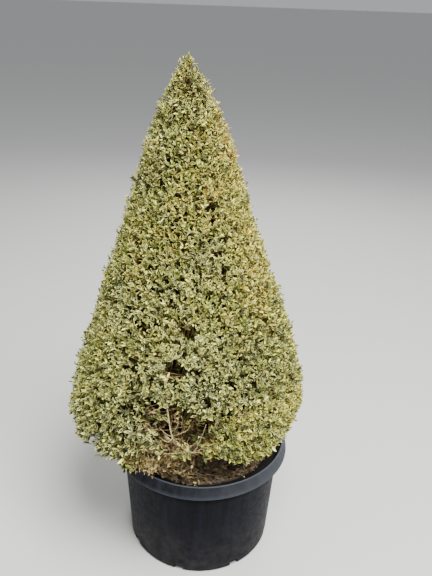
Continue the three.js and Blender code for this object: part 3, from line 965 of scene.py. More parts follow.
@dataclass
class Soil:
    """The potting mix: a shallow mound with bark chips and fallen leaves on it."""

    planter: Planter
    edge_height: float = 0.281
    mound_height: float = 0.289
    ease: float = 2 * MM
    fit_gap: float = 0.0004
    flat_radius: float = 0.070
    slope_radius: float = 0.118
    dish_radius: float = 0.165
    edge_radius: float = 0.21
    strewn_radius: float = 0.181
    columns: int = 160
    top_rows: int = 56
    roughness: float = 0.0022
    clods: Grain = Grain(41, 0.016)
    crumbs: Grain = Grain(42, 0.006)
    chip_count: int = 900
    chip_size: tuple[tuple[float, float], ...] = ((5, 19), (3, 8), (1.2, 3))
    chip_jitter: float = 0.16
    chip_lift: float = 1.0 * MM
    tilt: float = 0.3
    leaf_count: int = 230
    leaf_size: tuple[float, float] = (9, 13)
    leaf_lift: float = 2.2 * MM

    def on_top(self, radius: Array, angle: Array, lift: float = 0) -> Array:
        """Places on the soil.

        The mound falls from its flat middle to the edge by straight slopes, and two grains roughen it.

        Args:
            radius: Their distances from the axis.
            angle: Their angles round it.
            lift: How far above the soil they lie.

        Returns:
            The places.
        """
        steps = (0, self.flat_radius, self.slope_radius, self.dish_radius, self.edge_radius)
        heights = (self.mound_height, self.mound_height, self.mound_height - self.ease,
                   self.edge_height + self.ease, self.edge_height)
        places = polar(radius, angle, 0.0)
        grain = 0.6 * self.clods(places) + 0.4 * self.crumbs(places)
        places[..., 2] = np.interp(radius, steps, heights) + self.roughness * grain + lift
        return places

    def body(self) -> Surface:
        """The soil as one closed body that fills the planter.

        Returns:
            The surface.
        """
        inset = self.planter.wall + self.fit_gap
        wall = self.planter.wall_radius
        foot = self.planter.edge_round
        rim = wall(self.edge_height) - inset
        profile = np.array([
            (0.03, inset), (0.1, inset), (self.planter.foot_radius - foot - inset, inset),
            (wall(foot) - inset, foot + inset), (wall(0.1) - inset, 0.1), (wall(0.2) - inset, 0.2),
            (rim, self.edge_height - 0.003),
        ])
        angle = round_angles(self.columns)
        side = polar(profile[:, :1], angle, profile[:, 1:])
        top = self.on_top(np.linspace(rim - 0.0008, 0.004, self.top_rows)[:, None], angle)
        rows = np.concatenate([side, top])
        index = np.arange(rows.shape[0] * self.columns).reshape(rows.shape[:2])
        faces = (ring_faces(index).reshape(-1, 4), index[:1, ::-1], index[-1:])
        return Surface(rows.reshape(-1, 3), faces)

    def scattered(self, count: int, rng: Rng, lift: float) -> Array:
        """Places strewn evenly over the soil.

        Args:
            count: Number of places.
            rng: Source of random numbers.
            lift: How far above the soil they lie.

        Returns:
            The places, one in each row.
        """
        radius = self.strewn_radius * np.sqrt(rng.uniform(0.02, 1, count))
        return self.on_top(radius, rng.uniform(0, math.tau, count), lift)

    def headings(self, count: int, rng: Rng) -> Array:
        """Random directions that lie nearly flat."""
        return unit(polar(1.0, rng.uniform(0, math.tau, count), rng.uniform(-self.tilt, self.tilt, count)))

    def chips(self, rng: Rng) -> None:
        """Makes flat splinters of bark: boxes with jittered corners, lying at random, by colour.

        Args:
            rng: Source of random numbers.
        """
        count = self.chip_count
        corner = np.array(list(np.ndindex(2, 2, 2))) - 0.5
        size = np.stack([rng.uniform(*span, count) for span in self.chip_size], axis=-1) * MM
        box = (corner + rng.uniform(-self.chip_jitter, self.chip_jitter, (count, 8, 3))) * size[:, None]
        along = self.headings(count, rng)
        side = unit(np.cross(UP, along))
        middle = self.scattered(count, rng, self.chip_lift)
        points = carried(box, middle, (along, side, np.cross(along, side)))
        sides = np.array([[0, 1, 3, 2], [4, 6, 7, 5], [0, 4, 5, 1], [2, 3, 7, 6], [0, 2, 6, 4], [1, 5, 7, 3]])
        colour = rng.integers(0, len(Mulch), count)
        for number, mulch in enumerate(Mulch):
            mine = points[colour == number]
            faces = np.arange(len(mine))[:, None, None] * 8 + sides
            finish = PlainFinish(f"chip_{mulch.name.lower()}", mulch.value, 0.9).material()
            chips = Surface(mine.reshape(-1, 3), (faces.reshape(-1, 4),))
            chips.piece(f"bark_chips_{mulch.name.lower()}", finish, Slot.SOIL)

    def build(self) -> None:
        """Makes the soil, its chips by colour, and the fallen leaves."""
        rng = np.random.default_rng(7)
        self.body().piece("soil_mound", SoilFinish().material(), Slot.SOIL, ("soil",), smooth=True)
        self.chips(rng)
        count = self.leaf_count
        root = self.scattered(count, rng, self.leaf_lift)
        along = self.headings(count, rng)
        normal = unit(UP + rng.normal(0, 0.3, (count, 3)))
        leaves = Leaves.of(root, along, normal, rng.uniform(*self.leaf_size, count) * MM, rng)
        leaves.dry_pieces("fallen", rng.random(count), (0.5, 0.8))


@dataclass(frozen=True)
class Sprays(Rows):
    """Leafy shoots as arrays, one row for each shoot."""

    foot: Array
    axis: Array
    length: Array
    leaf_size: Array
    roll: Array

    def tip(self) -> Array:
        """Where each shoot ends."""
        return self.foot + self.axis * self.length[:, None]

    def leaves(self, pairs: int, rng: Rng) -> tuple[Leaves, Array]:
        """Opposite pairs of leaves along each shoot, each pair turned a quarter from the last.

        The lowest leaves stand well open, the last ones are smaller and nearly closed.

        Args:
            pairs: Pairs on each shoot.
            rng: Source of random numbers.

        Returns:
            The leaves, and the number of the shoot that each grows on.
        """
        shape = (len(self.foot), pairs, 2)
        share = np.linspace(0.4, 1, pairs)[None, :, None]
        axis = self.axis[:, None, None]
        root = self.foot[:, None, None] + axis * (self.length[:, None, None] * share)[..., None]
        turn = self.roll[:, None, None] + np.arange(pairs)[None, :, None] * math.pi / 2
        turn = turn + np.array([0, math.pi]) + rng.normal(0, 0.25, shape)
        first, second = (side[:, None, None] for side in across(self.axis))
        outwards = np.cos(turn)[..., None] * first + np.sin(turn)[..., None] * second
        opening = mix(math.radians(68), math.radians(24), share) + rng.normal(0, 0.3, shape)
        opening = opening[..., None]
        along = outwards * np.sin(opening) + axis * np.cos(opening)
        normal = axis * np.sin(opening) - outwards * np.cos(opening)
        twist = rng.normal(0, 0.7, shape)[..., None]
        normal = normal * np.cos(twist) + np.cross(along, normal) * np.sin(twist)
        size = self.leaf_size[:, None, None] * mix(1.0, 0.7, share ** 2) * rng.uniform(0.85, 1.15, shape)
        parts = (root, unit(along), unit(normal))
        flat = [np.broadcast_to(part, (*shape, 3)).reshape(-1, 3) for part in parts]
        owner = np.broadcast_to(np.arange(len(self.foot))[:, None, None], shape)
        return Leaves.of(*flat, size.ravel(), rng), owner.ravel()


@dataclass(frozen=True)
class Gap:
    """An oval dent in the crown: height, angle, half height, half width and depth."""

    height: float
    degrees: float
    tall: float
    wide: float
    depth: float

    def share(self, height: Array, angle: Array, radius: Array) -> Array:
        """How far places are inside the dent.

        Args:
            height: Heights of the places.
            angle: Their angles round the crown.
            radius: The crown's radius there.

        Returns:
            0 at its edge and outside, 1 in its middle.
        """
        away = angle - math.radians(self.degrees)
        turn = np.arctan2(np.sin(away), np.cos(away))
        return np.maximum(0, 1 - (turn * radius / self.wide) ** 2 - ((height - self.height) / self.tall) ** 2)


@dataclass(frozen=True)
class CrownShape:
    """The clipped outline of the crown as a surface over height and angle.

    Its radius and the place of its middle are smooth curves over the height. A point is the middle plus the
    radius, turned by the angle and shortened by an inset.
    """

    outline: SmoothCurve = SmoothCurve((
        (0.318, 0.150), (0.352, 0.219), (0.392, 0.276), (0.455, 0.288), (0.508, 0.281), (0.635, 0.243),
        (0.838, 0.171), (1.092, 0.087), (1.215, 0.032), (1.257, 0.0),
    ))
    middle: SmoothCurve = SmoothCurve(((0.318, -0.057), (0.540, -0.033), (0.800, -0.0374), (1.257, -0.048)))
    foot: float = 0.318
    tip: float = 1.257
    margin: float = 0.006
    tip_margin: float = 0.010
    hollows: tuple[Gap, ...] = (
        Gap(0.640, -95, 0.026, 0.024, 0.032),
        Gap(0.638, -120, 0.016, 0.020, 0.022),
        Gap(0.708, -116, 0.013, 0.020, 0.020),
        Gap(0.714, -89, 0.016, 0.022, 0.024),
        Gap(0.563, -113, 0.014, 0.014, 0.020),
        Gap(0.552, -95, 0.018, 0.013, 0.020),
        Gap(0.575, -78, 0.013, 0.013, 0.020),
        Gap(0.552, -107, 0.013, 0.027, 0.026),
        Gap(0.510, -112, 0.009, 0.014, 0.022),
        Gap(0.526, -92, 0.013, 0.011, 0.024),
        Gap(0.506, -79, 0.034, 0.014, 0.022),
    )
    bulges: tuple[Gap, ...] = (
        Gap(0.360, -148, 0.042, 0.090, 0.016),
        Gap(0.350, -40, 0.036, 0.080, 0.014),
    )
    thin: Gap = Gap(0.475, -102, 0.110, 0.118, 0.050)
    sparse: Gap = Gap(0.500, -91, 0.070, 0.086, 0.030)
    skirt: SmoothCurve = SmoothCurve((
        (-180, 0.328), (-166, 0.346), (-154, 0.382), (-134, 0.402), (-119, 0.402), (-110, 0.426),
        (-92, 0.458), (-78, 0.450), (-68, 0.432), (-57, 0.405), (-45, 0.370), (-30, 0.330), (-15, 0.318),
        (180, 0.318),
    ))
    ragged: float = 0.007
    rags: Grain = Grain(14, 0.03)

    def radius(self, height: Array) -> Array:
        """Radius of the crown at a height."""
        return np.maximum(self.outline(height), 0)

    def place(self, height: Array, angle: Array, inset: Array) -> Array:
        """Points on the outline, moved inwards.

        Args:
            height: Their heights.
            angle: Their angles round the crown.
            inset: How far inwards each is moved.

        Returns:
            The points, one in each row.
        """
        places = polar(np.maximum(self.radius(height) - inset, 0), angle, height)
        places[..., 0] += self.middle(height)
        return places

    def over_skirt(self, height: Array, angle: Array) -> Array:
        """How far places lie above the skirt's ragged lower edge, which rises to an arch at the front.

        Args:
            height: Heights of the places.
            angle: Their angles round the crown.

        Returns:
            The distance in metres, less than 0 below the edge.
        """
        turn = np.degrees(np.arctan2(np.sin(angle), np.cos(angle)))
        return height - self.skirt(turn) - self.ragged * self.rags(self.place(height, angle, 0))

    def outwards(self, height: Array, angle: Array) -> Array:
        """Directions square to the outline, pointing out of the crown.

        Args:
            height: Heights of the places.
            angle: Their angles round the crown.

        Returns:
            Unit vectors, one in each row.
        """
        low = np.maximum(height - self.margin, self.foot)
        high = np.minimum(height + self.margin, self.tip)
        return unit(polar(1.0, angle, (self.outline(low) - self.outline(high)) / (high - low)))

    def heights(self, count: int, rng: Rng) -> Array:
        """Heights shared out so that every stretch of the outline gets its share by area.

        Args:
            count: Number of heights.
            rng: Source of random numbers.

        Returns:
            The heights, from low to high.
        """
        rows = np.linspace(self.foot + self.margin, self.tip - self.tip_margin, 400)
        upright = np.hypot(*self.outwards(rows, 0 * rows)[:, :2].T)
        total = np.cumsum((self.radius(rows) + self.margin) / upright)
        wanted = (np.arange(count) + 0.2 + 0.6 * rng.random(count)) / count * total[-1]
        return np.interp(wanted, total, rows)

    def patches(self, height: Array, angle: Array) -> tuple[Array, Array]:
        """How deep places are in the thin patch, and in the sparse one in it, from 0 to 1."""
        radius = self.radius(height)
        return self.thin.share(height, angle, radius), self.sparse.share(height, angle, radius)

    def dents(self, height: Array, angle: Array) -> tuple[Array, Array]:
        """How far and how deep places lie in the hollows.

        Args:
            height: Heights of the places.
            angle: Their angles round the crown.

        Returns:
            The share from 0 to 1 and the depth in metres.
        """
        radius = self.radius(height)
        shares = np.stack([gap.share(height, angle, radius) for gap in self.hollows])
        depths = np.array([gap.depth for gap in self.hollows])[:, None] * np.sqrt(shares)
        raised = sum(gap.depth * np.sqrt(gap.share(height, angle, radius)) for gap in self.bulges)
        return shares.max(0), depths.max(0) - raised


@dataclass
class Limbs:
    """The trunk and the boughs, tapering limbs with a relief of bark. Paths are in millimetres."""

    trunk_path: Route = (
        (-14, 2, 277), (-20, 0, 330), (-33, 0, 470), (-38, 0, 700), (-43, 0, 950), (-48, 0, 1188),
    )
    trunk_radius: float = 0.017
    trunk_tip_radius: float = 0.0016
    trunk_sides: int = 40
    trunk_relief: float = 0.0007
    flare_radius: float = 0.034
    flare_height: float = 0.026
    flare_lobes: int = 5
    lobe_height: float = 0.22
    bough_count: int = 6
    bough_turn: float = math.radians(8)
    bough_foot: float = -24
    bough_start: float = 306
    bough_stagger: float = 13
    bough_reach: float = 122
    bough_top: float = 419
    bough_steps: int = 70
    bough_sides: int = 18
    bough_relief: float = 0.0003
    main_taper: tuple[float, float] = (0.0085, 0.0050)
    low_taper: tuple[float, float] = (0.0036, 0.0012)
    low_paths: tuple[tuple[str, Route], ...] = (
        ("bough_front", ((-20, 0, 318), (-28, -110, 352), (-42, -205, 412), (-58, -254, 480),
                         (-70, -242, 545), (-74, -212, 606))),
        ("bough_left_low", ((-20, 0, 312), (-84, -44, 320), (-132, -84, 330), (-156, -112, 340))),
        ("bough_front_low", ((-20, 0, 326), (-44, -74, 330), (-68, -128, 336), (-82, -156, 342))),
    )

    def main_path(self, number: int) -> Route:
        """Path of one main bough: out of the trunk, then steeply up into the crown.

        Args:
            number: Which of the boughs, from 0.

        Returns:
            Its places in millimetres.
        """
        angle = self.bough_turn + number * math.tau / self.bough_count
        start = self.bough_start + self.bough_stagger * (number % 3)
        x, y = self.bough_reach * math.cos(angle), self.bough_reach * math.sin(angle)
        reaches = ((0, start), (0.35, start + 26), (0.72, start + 66), (1, self.bough_top))
        return tuple((self.bough_foot + share * x, share * y, height) for share, height in reaches)

    def barked(self, path: Array, radius: Array, sides: int, relief: float, seed: int) -> Surface:
        """A limb whose surface is raised and cracked along its length.

        Two grains over the angle round the limb and the place along it, drawn out five times along it, are
        folded so that they make sharp cracks, and they move the surface in and out.

        Args:
            path: Places along the limb.
            radius: Its radius at each place, or at each place and side.
            sides: Number of sides.
            relief: Depth of the cracks.
            seed: Seed of the grain.

        Returns:
            The limb as a closed surface.
        """
        where = polar(float(np.mean(radius)), round_angles(sides), run_along(path)[:, None] / 5)
        crack = 1 - 2 * np.abs(Grain(seed, 0.0042)(where)) + 0.5 * Grain(seed + 1, 0.0017)(where)
        plain = tubes(path[None], np.ones(len(path)), sides)
        spoke = plain.points.reshape(len(path), sides, 3) - path[:, None]
        reach = (radius if radius.ndim == 2 else radius[:, None]) + relief * crack
        return Surface((path[:, None] + spoke * reach[..., None]).reshape(-1, 3), plain.faces)

    def trunk(self) -> Surface:
        """The trunk, from its lobed flare at the soil to a slender leader inside the crown.

        Returns:
            The surface.
        """
        path = path_through(self.trunk_path, 240)
        share = np.linspace(0, 1, len(path))[:, None]
        lobes = 1 + self.lobe_height * np.cos(self.flare_lobes * round_angles(self.trunk_sides))
        fall = np.exp(-share * run_along(path)[-1] / self.flare_height)
        flare = (self.flare_radius - self.trunk_radius) * fall
        radius = mix(self.trunk_radius, self.trunk_tip_radius, share ** 0.85) + flare * lobes
        return self.barked(path, radius, self.trunk_sides, self.trunk_relief, 51)

    def build(self) -> None:
        """Makes the trunk and each bough."""
        bark = BarkFinish("grey_tan_bark", "5a4a38", "a08a6c").material()
        self.trunk().piece("trunk_bark", bark, Slot.BARK, ("trunk",), smooth=True)
        stem = BarkFinish("pale_tan_bark", "9a7d55", "d6bd8c").material()
        boughs = [(f"bough_{i + 1}", self.main_path(i), self.main_taper, 1.0, bark)
                  for i in range(self.bough_count)]
        boughs += [(name, route, self.low_taper, 0.4, stem) for name, route in self.low_paths]
        for number, (name, route, taper, ease, finish) in enumerate(boughs):
            path = path_through(route, self.bough_steps)
            radius = mix(*taper, np.linspace(0, 1, len(path)) ** ease)
            limb = self.barked(path, radius, self.bough_sides, self.bough_relief, 60 + number)
            limb.piece(f"{name}_bark", finish, Slot.BARK, (name,), smooth=True)


@dataclass
class Foliage:
    """Everything that bears leaves, gathered by colour and then made into one piece for each."""

    shape: CrownShape
    limbs: Limbs
    spray_count: int = 13500
    spray_pairs: int = 3
    spray_length: float = 0.018
    leaf_length: float = 0.0140
    inner_share: float = 0.3
    inner_layer: tuple[float, float] = (0.012, 0.024)
    outer_layer: tuple[float, float] = (0, 0.007)
    proud_share: float = 0.07
    proud_layer: tuple[float, float] = (-0.008, -0.002)
    tip_count: int = 30
    tuft_count: int = 180
    tuft_from: tuple[float, float, float] = (-0.202, -0.142, 0.374)
    tuft_to: tuple[float, float, float] = (-0.156, -0.178, 0.353)
    tuft_reach: tuple[float, float, float] = (0.016, 0.026, 0.018)
    lone_count: int = 14
    lone_place: tuple[float, float, float] = (-0.030, -0.250, 0.430)
    lone_reach: tuple[float, float, float] = (0.010, 0.006, 0.014)
    old_leaf_count: int = 14000
    old_leaf_depth: tuple[float, float] = (0.030, 0.058)
    old_leaf_length: float = 0.0165
    old_green_share: float = 0.55
    shade_leaf_count: int = 7000
    shade_leaf_depth: tuple[float, float] = (0.062, 0.110)
    shade_leaf_length: float = 0.030
    margin_steps: tuple[float, ...] = (0.14, 0.40, 0.47, 0.76)
    centre_steps: tuple[float, ...] = (0.10, 0.40, 0.68)
    branch_count: int = 260
    branch_steps: int = 8
    branch_taper: tuple[float, float] = (0.0034, 0.0015)
    twig_radii: tuple[float, ...] = (1.1 * MM, 0.75 * MM, 0.4 * MM)

    def branches(self, rng: Rng) -> Array:
        """Branches that grow from the trunk and the main boughs to just under the shoots.

        Each ends at a place of the spiral that shares out the crown's surface evenly, and springs from the
        limb that reaches it best on a rising line.

        Args:
            rng: Source of random numbers.

        Returns:
            Places along the branches, (branches, steps, 3).
        """
        count, shape = self.branch_count, self.shape
        height = shape.heights(count, rng)
        angle = np.arange(count) * GOLDEN_ANGLE
        thin, _ = shape.patches(height, angle)
        end = shape.place(height, angle, np.minimum(0.055 + 0.04 * thin, 0.7 * shape.radius(height)))
        trunk = path_through(self.limbs.trunk_path, 160)[20:]
        boughs = [path_through(self.limbs.main_path(i), 40)[14:] for i in range(self.limbs.bough_count)]
        source = np.concatenate([trunk, *boughs])
        gap = end[:, None] - source[None]
        flat = np.hypot(gap[..., 0], gap[..., 1])
        short = np.maximum(0, 0.45 * flat - gap[..., 2])
        start = source[np.argmin(flat + 2.2 * short + 0.5 * np.abs(gap[..., 2]), axis=1)]
        reach = np.linalg.norm(end - start, axis=1, keepdims=True)
        sag = reach * (-0.09 * UP + rng.normal(0, 0.035, (count, 3)))
        return bends(start, end, sag, self.branch_steps)[shape.over_skirt(height, angle) > 0]

    def crown_sprays(self, rng: Rng) -> Sprays:
        """The leafy shoots of the crown's clipped surface.

        They sit in a few layers, moved in and out by lumps, hollows and the thin patch. A speckle leaves some
        out everywhere, more of them low on the left, where they are also looser and larger.

        Args:
            rng: Source of random numbers.

        Returns:
            The shoots.
        """
        count, shape = self.spray_count, self.shape
        height = shape.heights(count, rng)
        angle = np.arange(count) * GOLDEN_ANGLE + rng.normal(0, 0.03, count)
        surface = shape.place(height, angle, 0)
        radius = shape.radius(height)
        dent_share, dent_depth = shape.dents(height, angle)
        thin, sparse = shape.patches(height, angle)
        layer = np.where(rng.random(count) < self.inner_share, rng.uniform(*self.inner_layer, count),
                         rng.uniform(*self.outer_layer, count))
        layer = np.where(rng.random(count) < self.proud_share, rng.uniform(*self.proud_layer, count), layer)
        lumps = 0.0046 * Grain(11, 0.05)(surface) + 0.0032 * Grain(12, 0.022)(surface)
        lumps *= np.clip(radius / 0.18, 0.25, 1)
        inset = 0.005 + layer + lumps + dent_depth + shape.thin.depth * np.sqrt(thin) * rng.random(count)
        axis = unit(0.75 * shape.outwards(height, angle) + 0.85 * UP + rng.normal(0, 0.42, (count, 3)))
        narrow = np.clip(radius / 0.08, 0.6, 1)
        length = self.spray_length * rng.uniform(0.75, 1.25, count) * narrow
        loose = rise(height, 0.60, 0.40) * (0.75 - 0.35 * np.cos(angle))
        open_share = 0.74 - 0.16 * np.clip(np.cos(angle), 0, 1) - 0.17 * loose
        gone = (Grain(13, 0.014)(surface) > open_share) | (shape.over_skirt(height, angle) < 0)
        gone |= (dent_share > 0.12) & (rng.random(count) < 0.85)
        gone |= rng.random(count) < 0.26 * thin + 0.86 * np.sqrt(sparse)
        gone |= Grain(15, 0.026)(surface) > 0.88 - 0.5 * loose
        high = (height - shape.foot) / (shape.tip - shape.foot)
        size = self.leaf_length * rng.uniform(0.85, 1.15, count) * np.clip(narrow + 0.1, 0, 1)
        size *= (1.12 - 0.3 * high) * (1 + 0.28 * loose)
        length *= 1 + 0.2 * loose
        foot = shape.place(height, angle, np.minimum(inset, radius)) - axis * length[:, None]
        return Sprays(foot, axis, length, size, rng.uniform(0, math.tau, count)).pick(~gone)

    def tip_sprays(self, rng: Rng) -> Sprays:
        """The upright shoots that make the crown's tip, lower and more leaning from first to last.

        Args:
            rng: Source of random numbers.

        Returns:
            The shoots.
        """
        count = self.tip_count
        share = np.linspace(0, 1, count)
        angle = np.arange(count) * GOLDEN_ANGLE
        tip = self.shape.place(self.shape.tip - 0.007 - 0.05 * share, angle, 0.006)
        lean = polar(1.0, angle, 0.0) * (0.1 + 0.6 * share[:, None])
        axis = unit(UP + lean + rng.normal(0, 0.1, (count, 3)))
        length = rng.uniform(0.014, 0.02, count)
        size, roll = mix(0.008, 0.011, share), rng.uniform(0, 6, count)
        return Sprays(tip - axis * length[:, None], axis, length, size, roll)

    def tuft_sprays(self, rng: Rng) -> Sprays:
        """The shoots of the tuft that hangs over the rim at the left, and a few lone ones at the front.

        Args:
            rng: Source of random numbers.

        Returns:
            The shoots.
        """
        count = self.tuft_count
        ball = unit(rng.normal(0, 1, (count, 3))) * rng.uniform(0.3, 1, (count, 1)) ** 0.5
        foot = mix(np.array(self.tuft_from), np.array(self.tuft_to), rng.random((count, 1)))
        foot += ball * np.array(self.tuft_reach)
        lone = slice(self.lone_count)
        foot[lone] = np.array(self.lone_place) + ball[lone] * np.array(self.lone_reach)
        axis = unit(ball * 0.6 + 0.7 * UP + np.array([-0.3, -0.4, 0]) + rng.normal(0, 0.3, (count, 3)))
        length = self.spray_length * rng.uniform(0.6, 1.0, count)
        size = self.leaf_length * rng.uniform(0.9, 1.15, count)
        return Sprays(foot, axis, length, size, rng.uniform(0, 6, count))

    def old_leaves(self, count: int, depth: tuple[float, float], size: float, rng: Rng) -> Leaves:
        """Shaded old leaves behind the shoots, which close the crown against the light.

        Args:
            count: Number of leaves.
            depth: How far under the outline the first and the last of them sit.
            size: Their mean length.
            rng: Source of random numbers.

        Returns:
            The leaves.
        """
        shape = self.shape
        height = shape.heights(count, rng)
        angle = np.arange(count) * GOLDEN_ANGLE + rng.normal(0, 0.02, count)
        radius = shape.radius(height)
        thin, sparse = shape.patches(height, angle)
        inset = rng.uniform(*depth, count) * np.clip(radius / 0.12, 0.25, 1) + shape.dents(height, angle)[1]
        inset += 0.05 * np.sqrt(thin) - 0.03 * np.sqrt(sparse)
        normal = unit(shape.outwards(height, angle) + rng.normal(0, 0.5, (count, 3)))
        along = unit(np.cross(normal, rng.normal(0, 1, (count, 3))))
        length = size * rng.uniform(0.8, 1.2, count) * np.clip(radius / 0.1, 0.4, 1)
        keep = (rng.random(count) > 0.3 * thin) & (height < shape.tip - 0.035)
        keep &= shape.over_skirt(height, angle) > 0.008
        return Leaves.of(shape.place(height, angle, inset), along, normal, length, rng).pick(keep)

    def gold(self, place: Array) -> Array:
        """How golden the leaves are: more to the right, higher up and at both sides there, and in drifts.

        Args:
            place: The places, one in each row.

        Returns:
            One number for each, about 0 to 1.
        """
        height = np.clip(place[:, 2], self.shape.foot, self.shape.tip)
        aside = (place[:, 0] - self.shape.middle(height)) / (self.shape.radius(height) + 0.01)
        high = (height - 0.35) / 0.9
        drift = 0.2 * Grain(21, 0.12)(place) + 0.16 * Grain(22, 0.03)(place)
        # Less gold low on the left and at middle height on the right is painted shade, which deals darker
        # colours there.
        low_left = rise(height, 0.58, 0.38) * np.clip(0.2 - aside, 0, 1)
        low_right = hump(height, 0.74, 0.18) * np.clip(aside, 0, 1)
        side = 0.17 * aside + 0.26 * high * aside ** 2 - 0.12 * low_left - 0.12 * low_right
        return 0.28 + 0.16 * high + side + drift

    def shade(self, place: Array) -> Array:
        """How shaded the leaves are, which makes more of them wholly green.

        Most of it lies low on the front, at middle height on the right and high up, and least low at the
        far left.

        Args:
            place: The places, one in each row.

        Returns:
            One number for each, less than 0 where they are lit more than most.
        """
        x, y, height = place.T
        aside = np.clip(x / 0.2, -1, 1)
        facing = rise(y, 0, -0.26) ** 0.7
        low = 1.5 * rise(height, 0.64, 0.44) * facing * (1 - 0.4 * np.clip(aside, 0, 1))
        right = 1.7 * np.clip(aside + 0.1, 0, 1) * hump(height, 0.68, 0.20)
        far_left = 1.6 * rise(x, -0.24, -0.29) * rise(height, 0.56, 0.46)
        return low + right + 0.5 * rise(height, 0.82, 0.92) - far_left

    def deal(self, sprays: Sprays, leaves: Leaves, owner: Array, rng: Rng) -> dict[Enum, Surface]:
        """Deals the colours out, spray by spray, and which leaves are wholly pale or green.

        Args:
            sprays: The shoots.
            leaves: Their leaves.
            owner: The number of the shoot that each leaf grows on.
            rng: Source of random numbers.

        Returns:
            Surfaces by colour.
        """
        count = len(sprays.foot)
        gold = self.gold(sprays.foot) + rng.normal(0, 0.1, count)
        margin = np.searchsorted(self.margin_steps, gold)
        centre = np.searchsorted(self.centre_steps, gold + rng.normal(0, 0.2, count))
        chance = rng.random(len(owner))
        shaded = self.shade(sprays.foot)
        pale = chance < (0.10 + 0.28 * np.clip(gold, 0, 1) - 0.05 * shaded)[owner]
        green = chance > (0.76 + 0.25 * np.clip(gold, 0, 0.6) - 0.13 * shaded)[owner]
        both, made = ~pale & ~green, {}
        parts = ((Margin, margin, LEAF_MARGIN, pale), (Centre, centre, LEAF_CENTRE, green))
        for colours, dealt, pattern, whole in parts:
            for number, colour in enumerate(colours):
                mine = dealt[owner] == number
                made[colour] = joined([leaves.pick(mine & both).surface(pattern),
                                       leaves.pick(mine & whole).surface(WHOLE_LEAF)])
        return made

    def twigs(self, sprays: Sprays, branches: Array, rng: Rng) -> Surface:
        """The twigs from the branches to the shoots and through them.

        Each twig springs from the outer half of the nearest branch that lies below it.

        Args:
            sprays: The shoots.
            branches: Places along the branches.
            rng: Source of random numbers.

        Returns:
            The twigs.
        """
        gap = sprays.foot[:, None] - branches[None, :, -1]
        cost = np.linalg.norm(gap, axis=-1) + 0.8 * np.maximum(0, 0.01 - gap[..., 2])
        step = rng.integers(self.branch_steps // 2, self.branch_steps, len(gap))
        path = np.stack([branches[np.argmin(cost, axis=1), step], sprays.foot, sprays.tip()], axis=1)
        return tubes(path, np.array(self.twig_radii), 3)

    def build(self) -> None:
        """Makes the leaves by colour, the old leaves, the twigs and the branches."""
        rng = np.random.default_rng(5)
        sprays = Sprays.gathered([self.crown_sprays(rng), self.tip_sprays(rng), self.tuft_sprays(rng)])
        masses = ("foliage_cone", "foliage_left_low")
        finishes = {colour: PlainFinish(f"leaf_{colour.name.lower()}", colour.value).material()
                    for colour in (*Margin, *Centre)}
        at_front = sprays.foot[:, 1] < 0
        halves = {"front": sprays.pick(at_front), "back": sprays.pick(~at_front)}
        for side, half in halves.items():
            leaves, owner = half.leaves(self.spray_pairs, rng)
            for colour, surface in self.deal(half, leaves, owner, rng).items():
                surface.piece(f"leaves_{colour.name.lower()}_{side}", finishes[colour], Slot.LEAF, masses)
        old = self.old_leaves(self.old_leaf_count, self.old_leaf_depth, self.old_leaf_length, rng)
        green = rng.random(len(old.root)) < self.old_green_share
        shade = self.old_leaves(self.shade_leaf_count, self.shade_leaf_depth, self.shade_leaf_length, rng)
        for colour, mask in ((Old.DEEP_GREEN, green), (Old.BROWN, ~green)):
            name = colour.name.lower()
            finish = PlainFinish(f"old_leaf_{name}", colour.value, 0.7).material()
            old.pick(mask).surface(WHOLE_LEAF).piece(f"old_leaves_{name}", finish, Slot.LEAF, masses)
        # The shade leaves' dark brown, without gloss, is partly old leaves' own colour and partly painted
        # shade deep in the crown.
        finish = PlainFinish("shade_leaf", Old.SHADE.value, 0.9, 0).material()
        shade.surface(WHOLE_LEAF).piece("shade_leaves", finish, Slot.LEAF, masses)
        branches = self.branches(rng)
        bark = BarkFinish("branch_bark", "503d22", "8f764c").material()
        radii = mix(*self.branch_taper, np.linspace(0, 1, self.branch_steps))
        tubes(branches, radii, 6).piece("branches", bark, Slot.BARK, smooth=True)
        twig_bark = PlainFinish("twig_bark", "7d6a45", 0.8).material()
        for side, half in halves.items():
            self.twigs(half, branches, rng).piece(f"twigs_{side}", twig_bark, Slot.BARK)


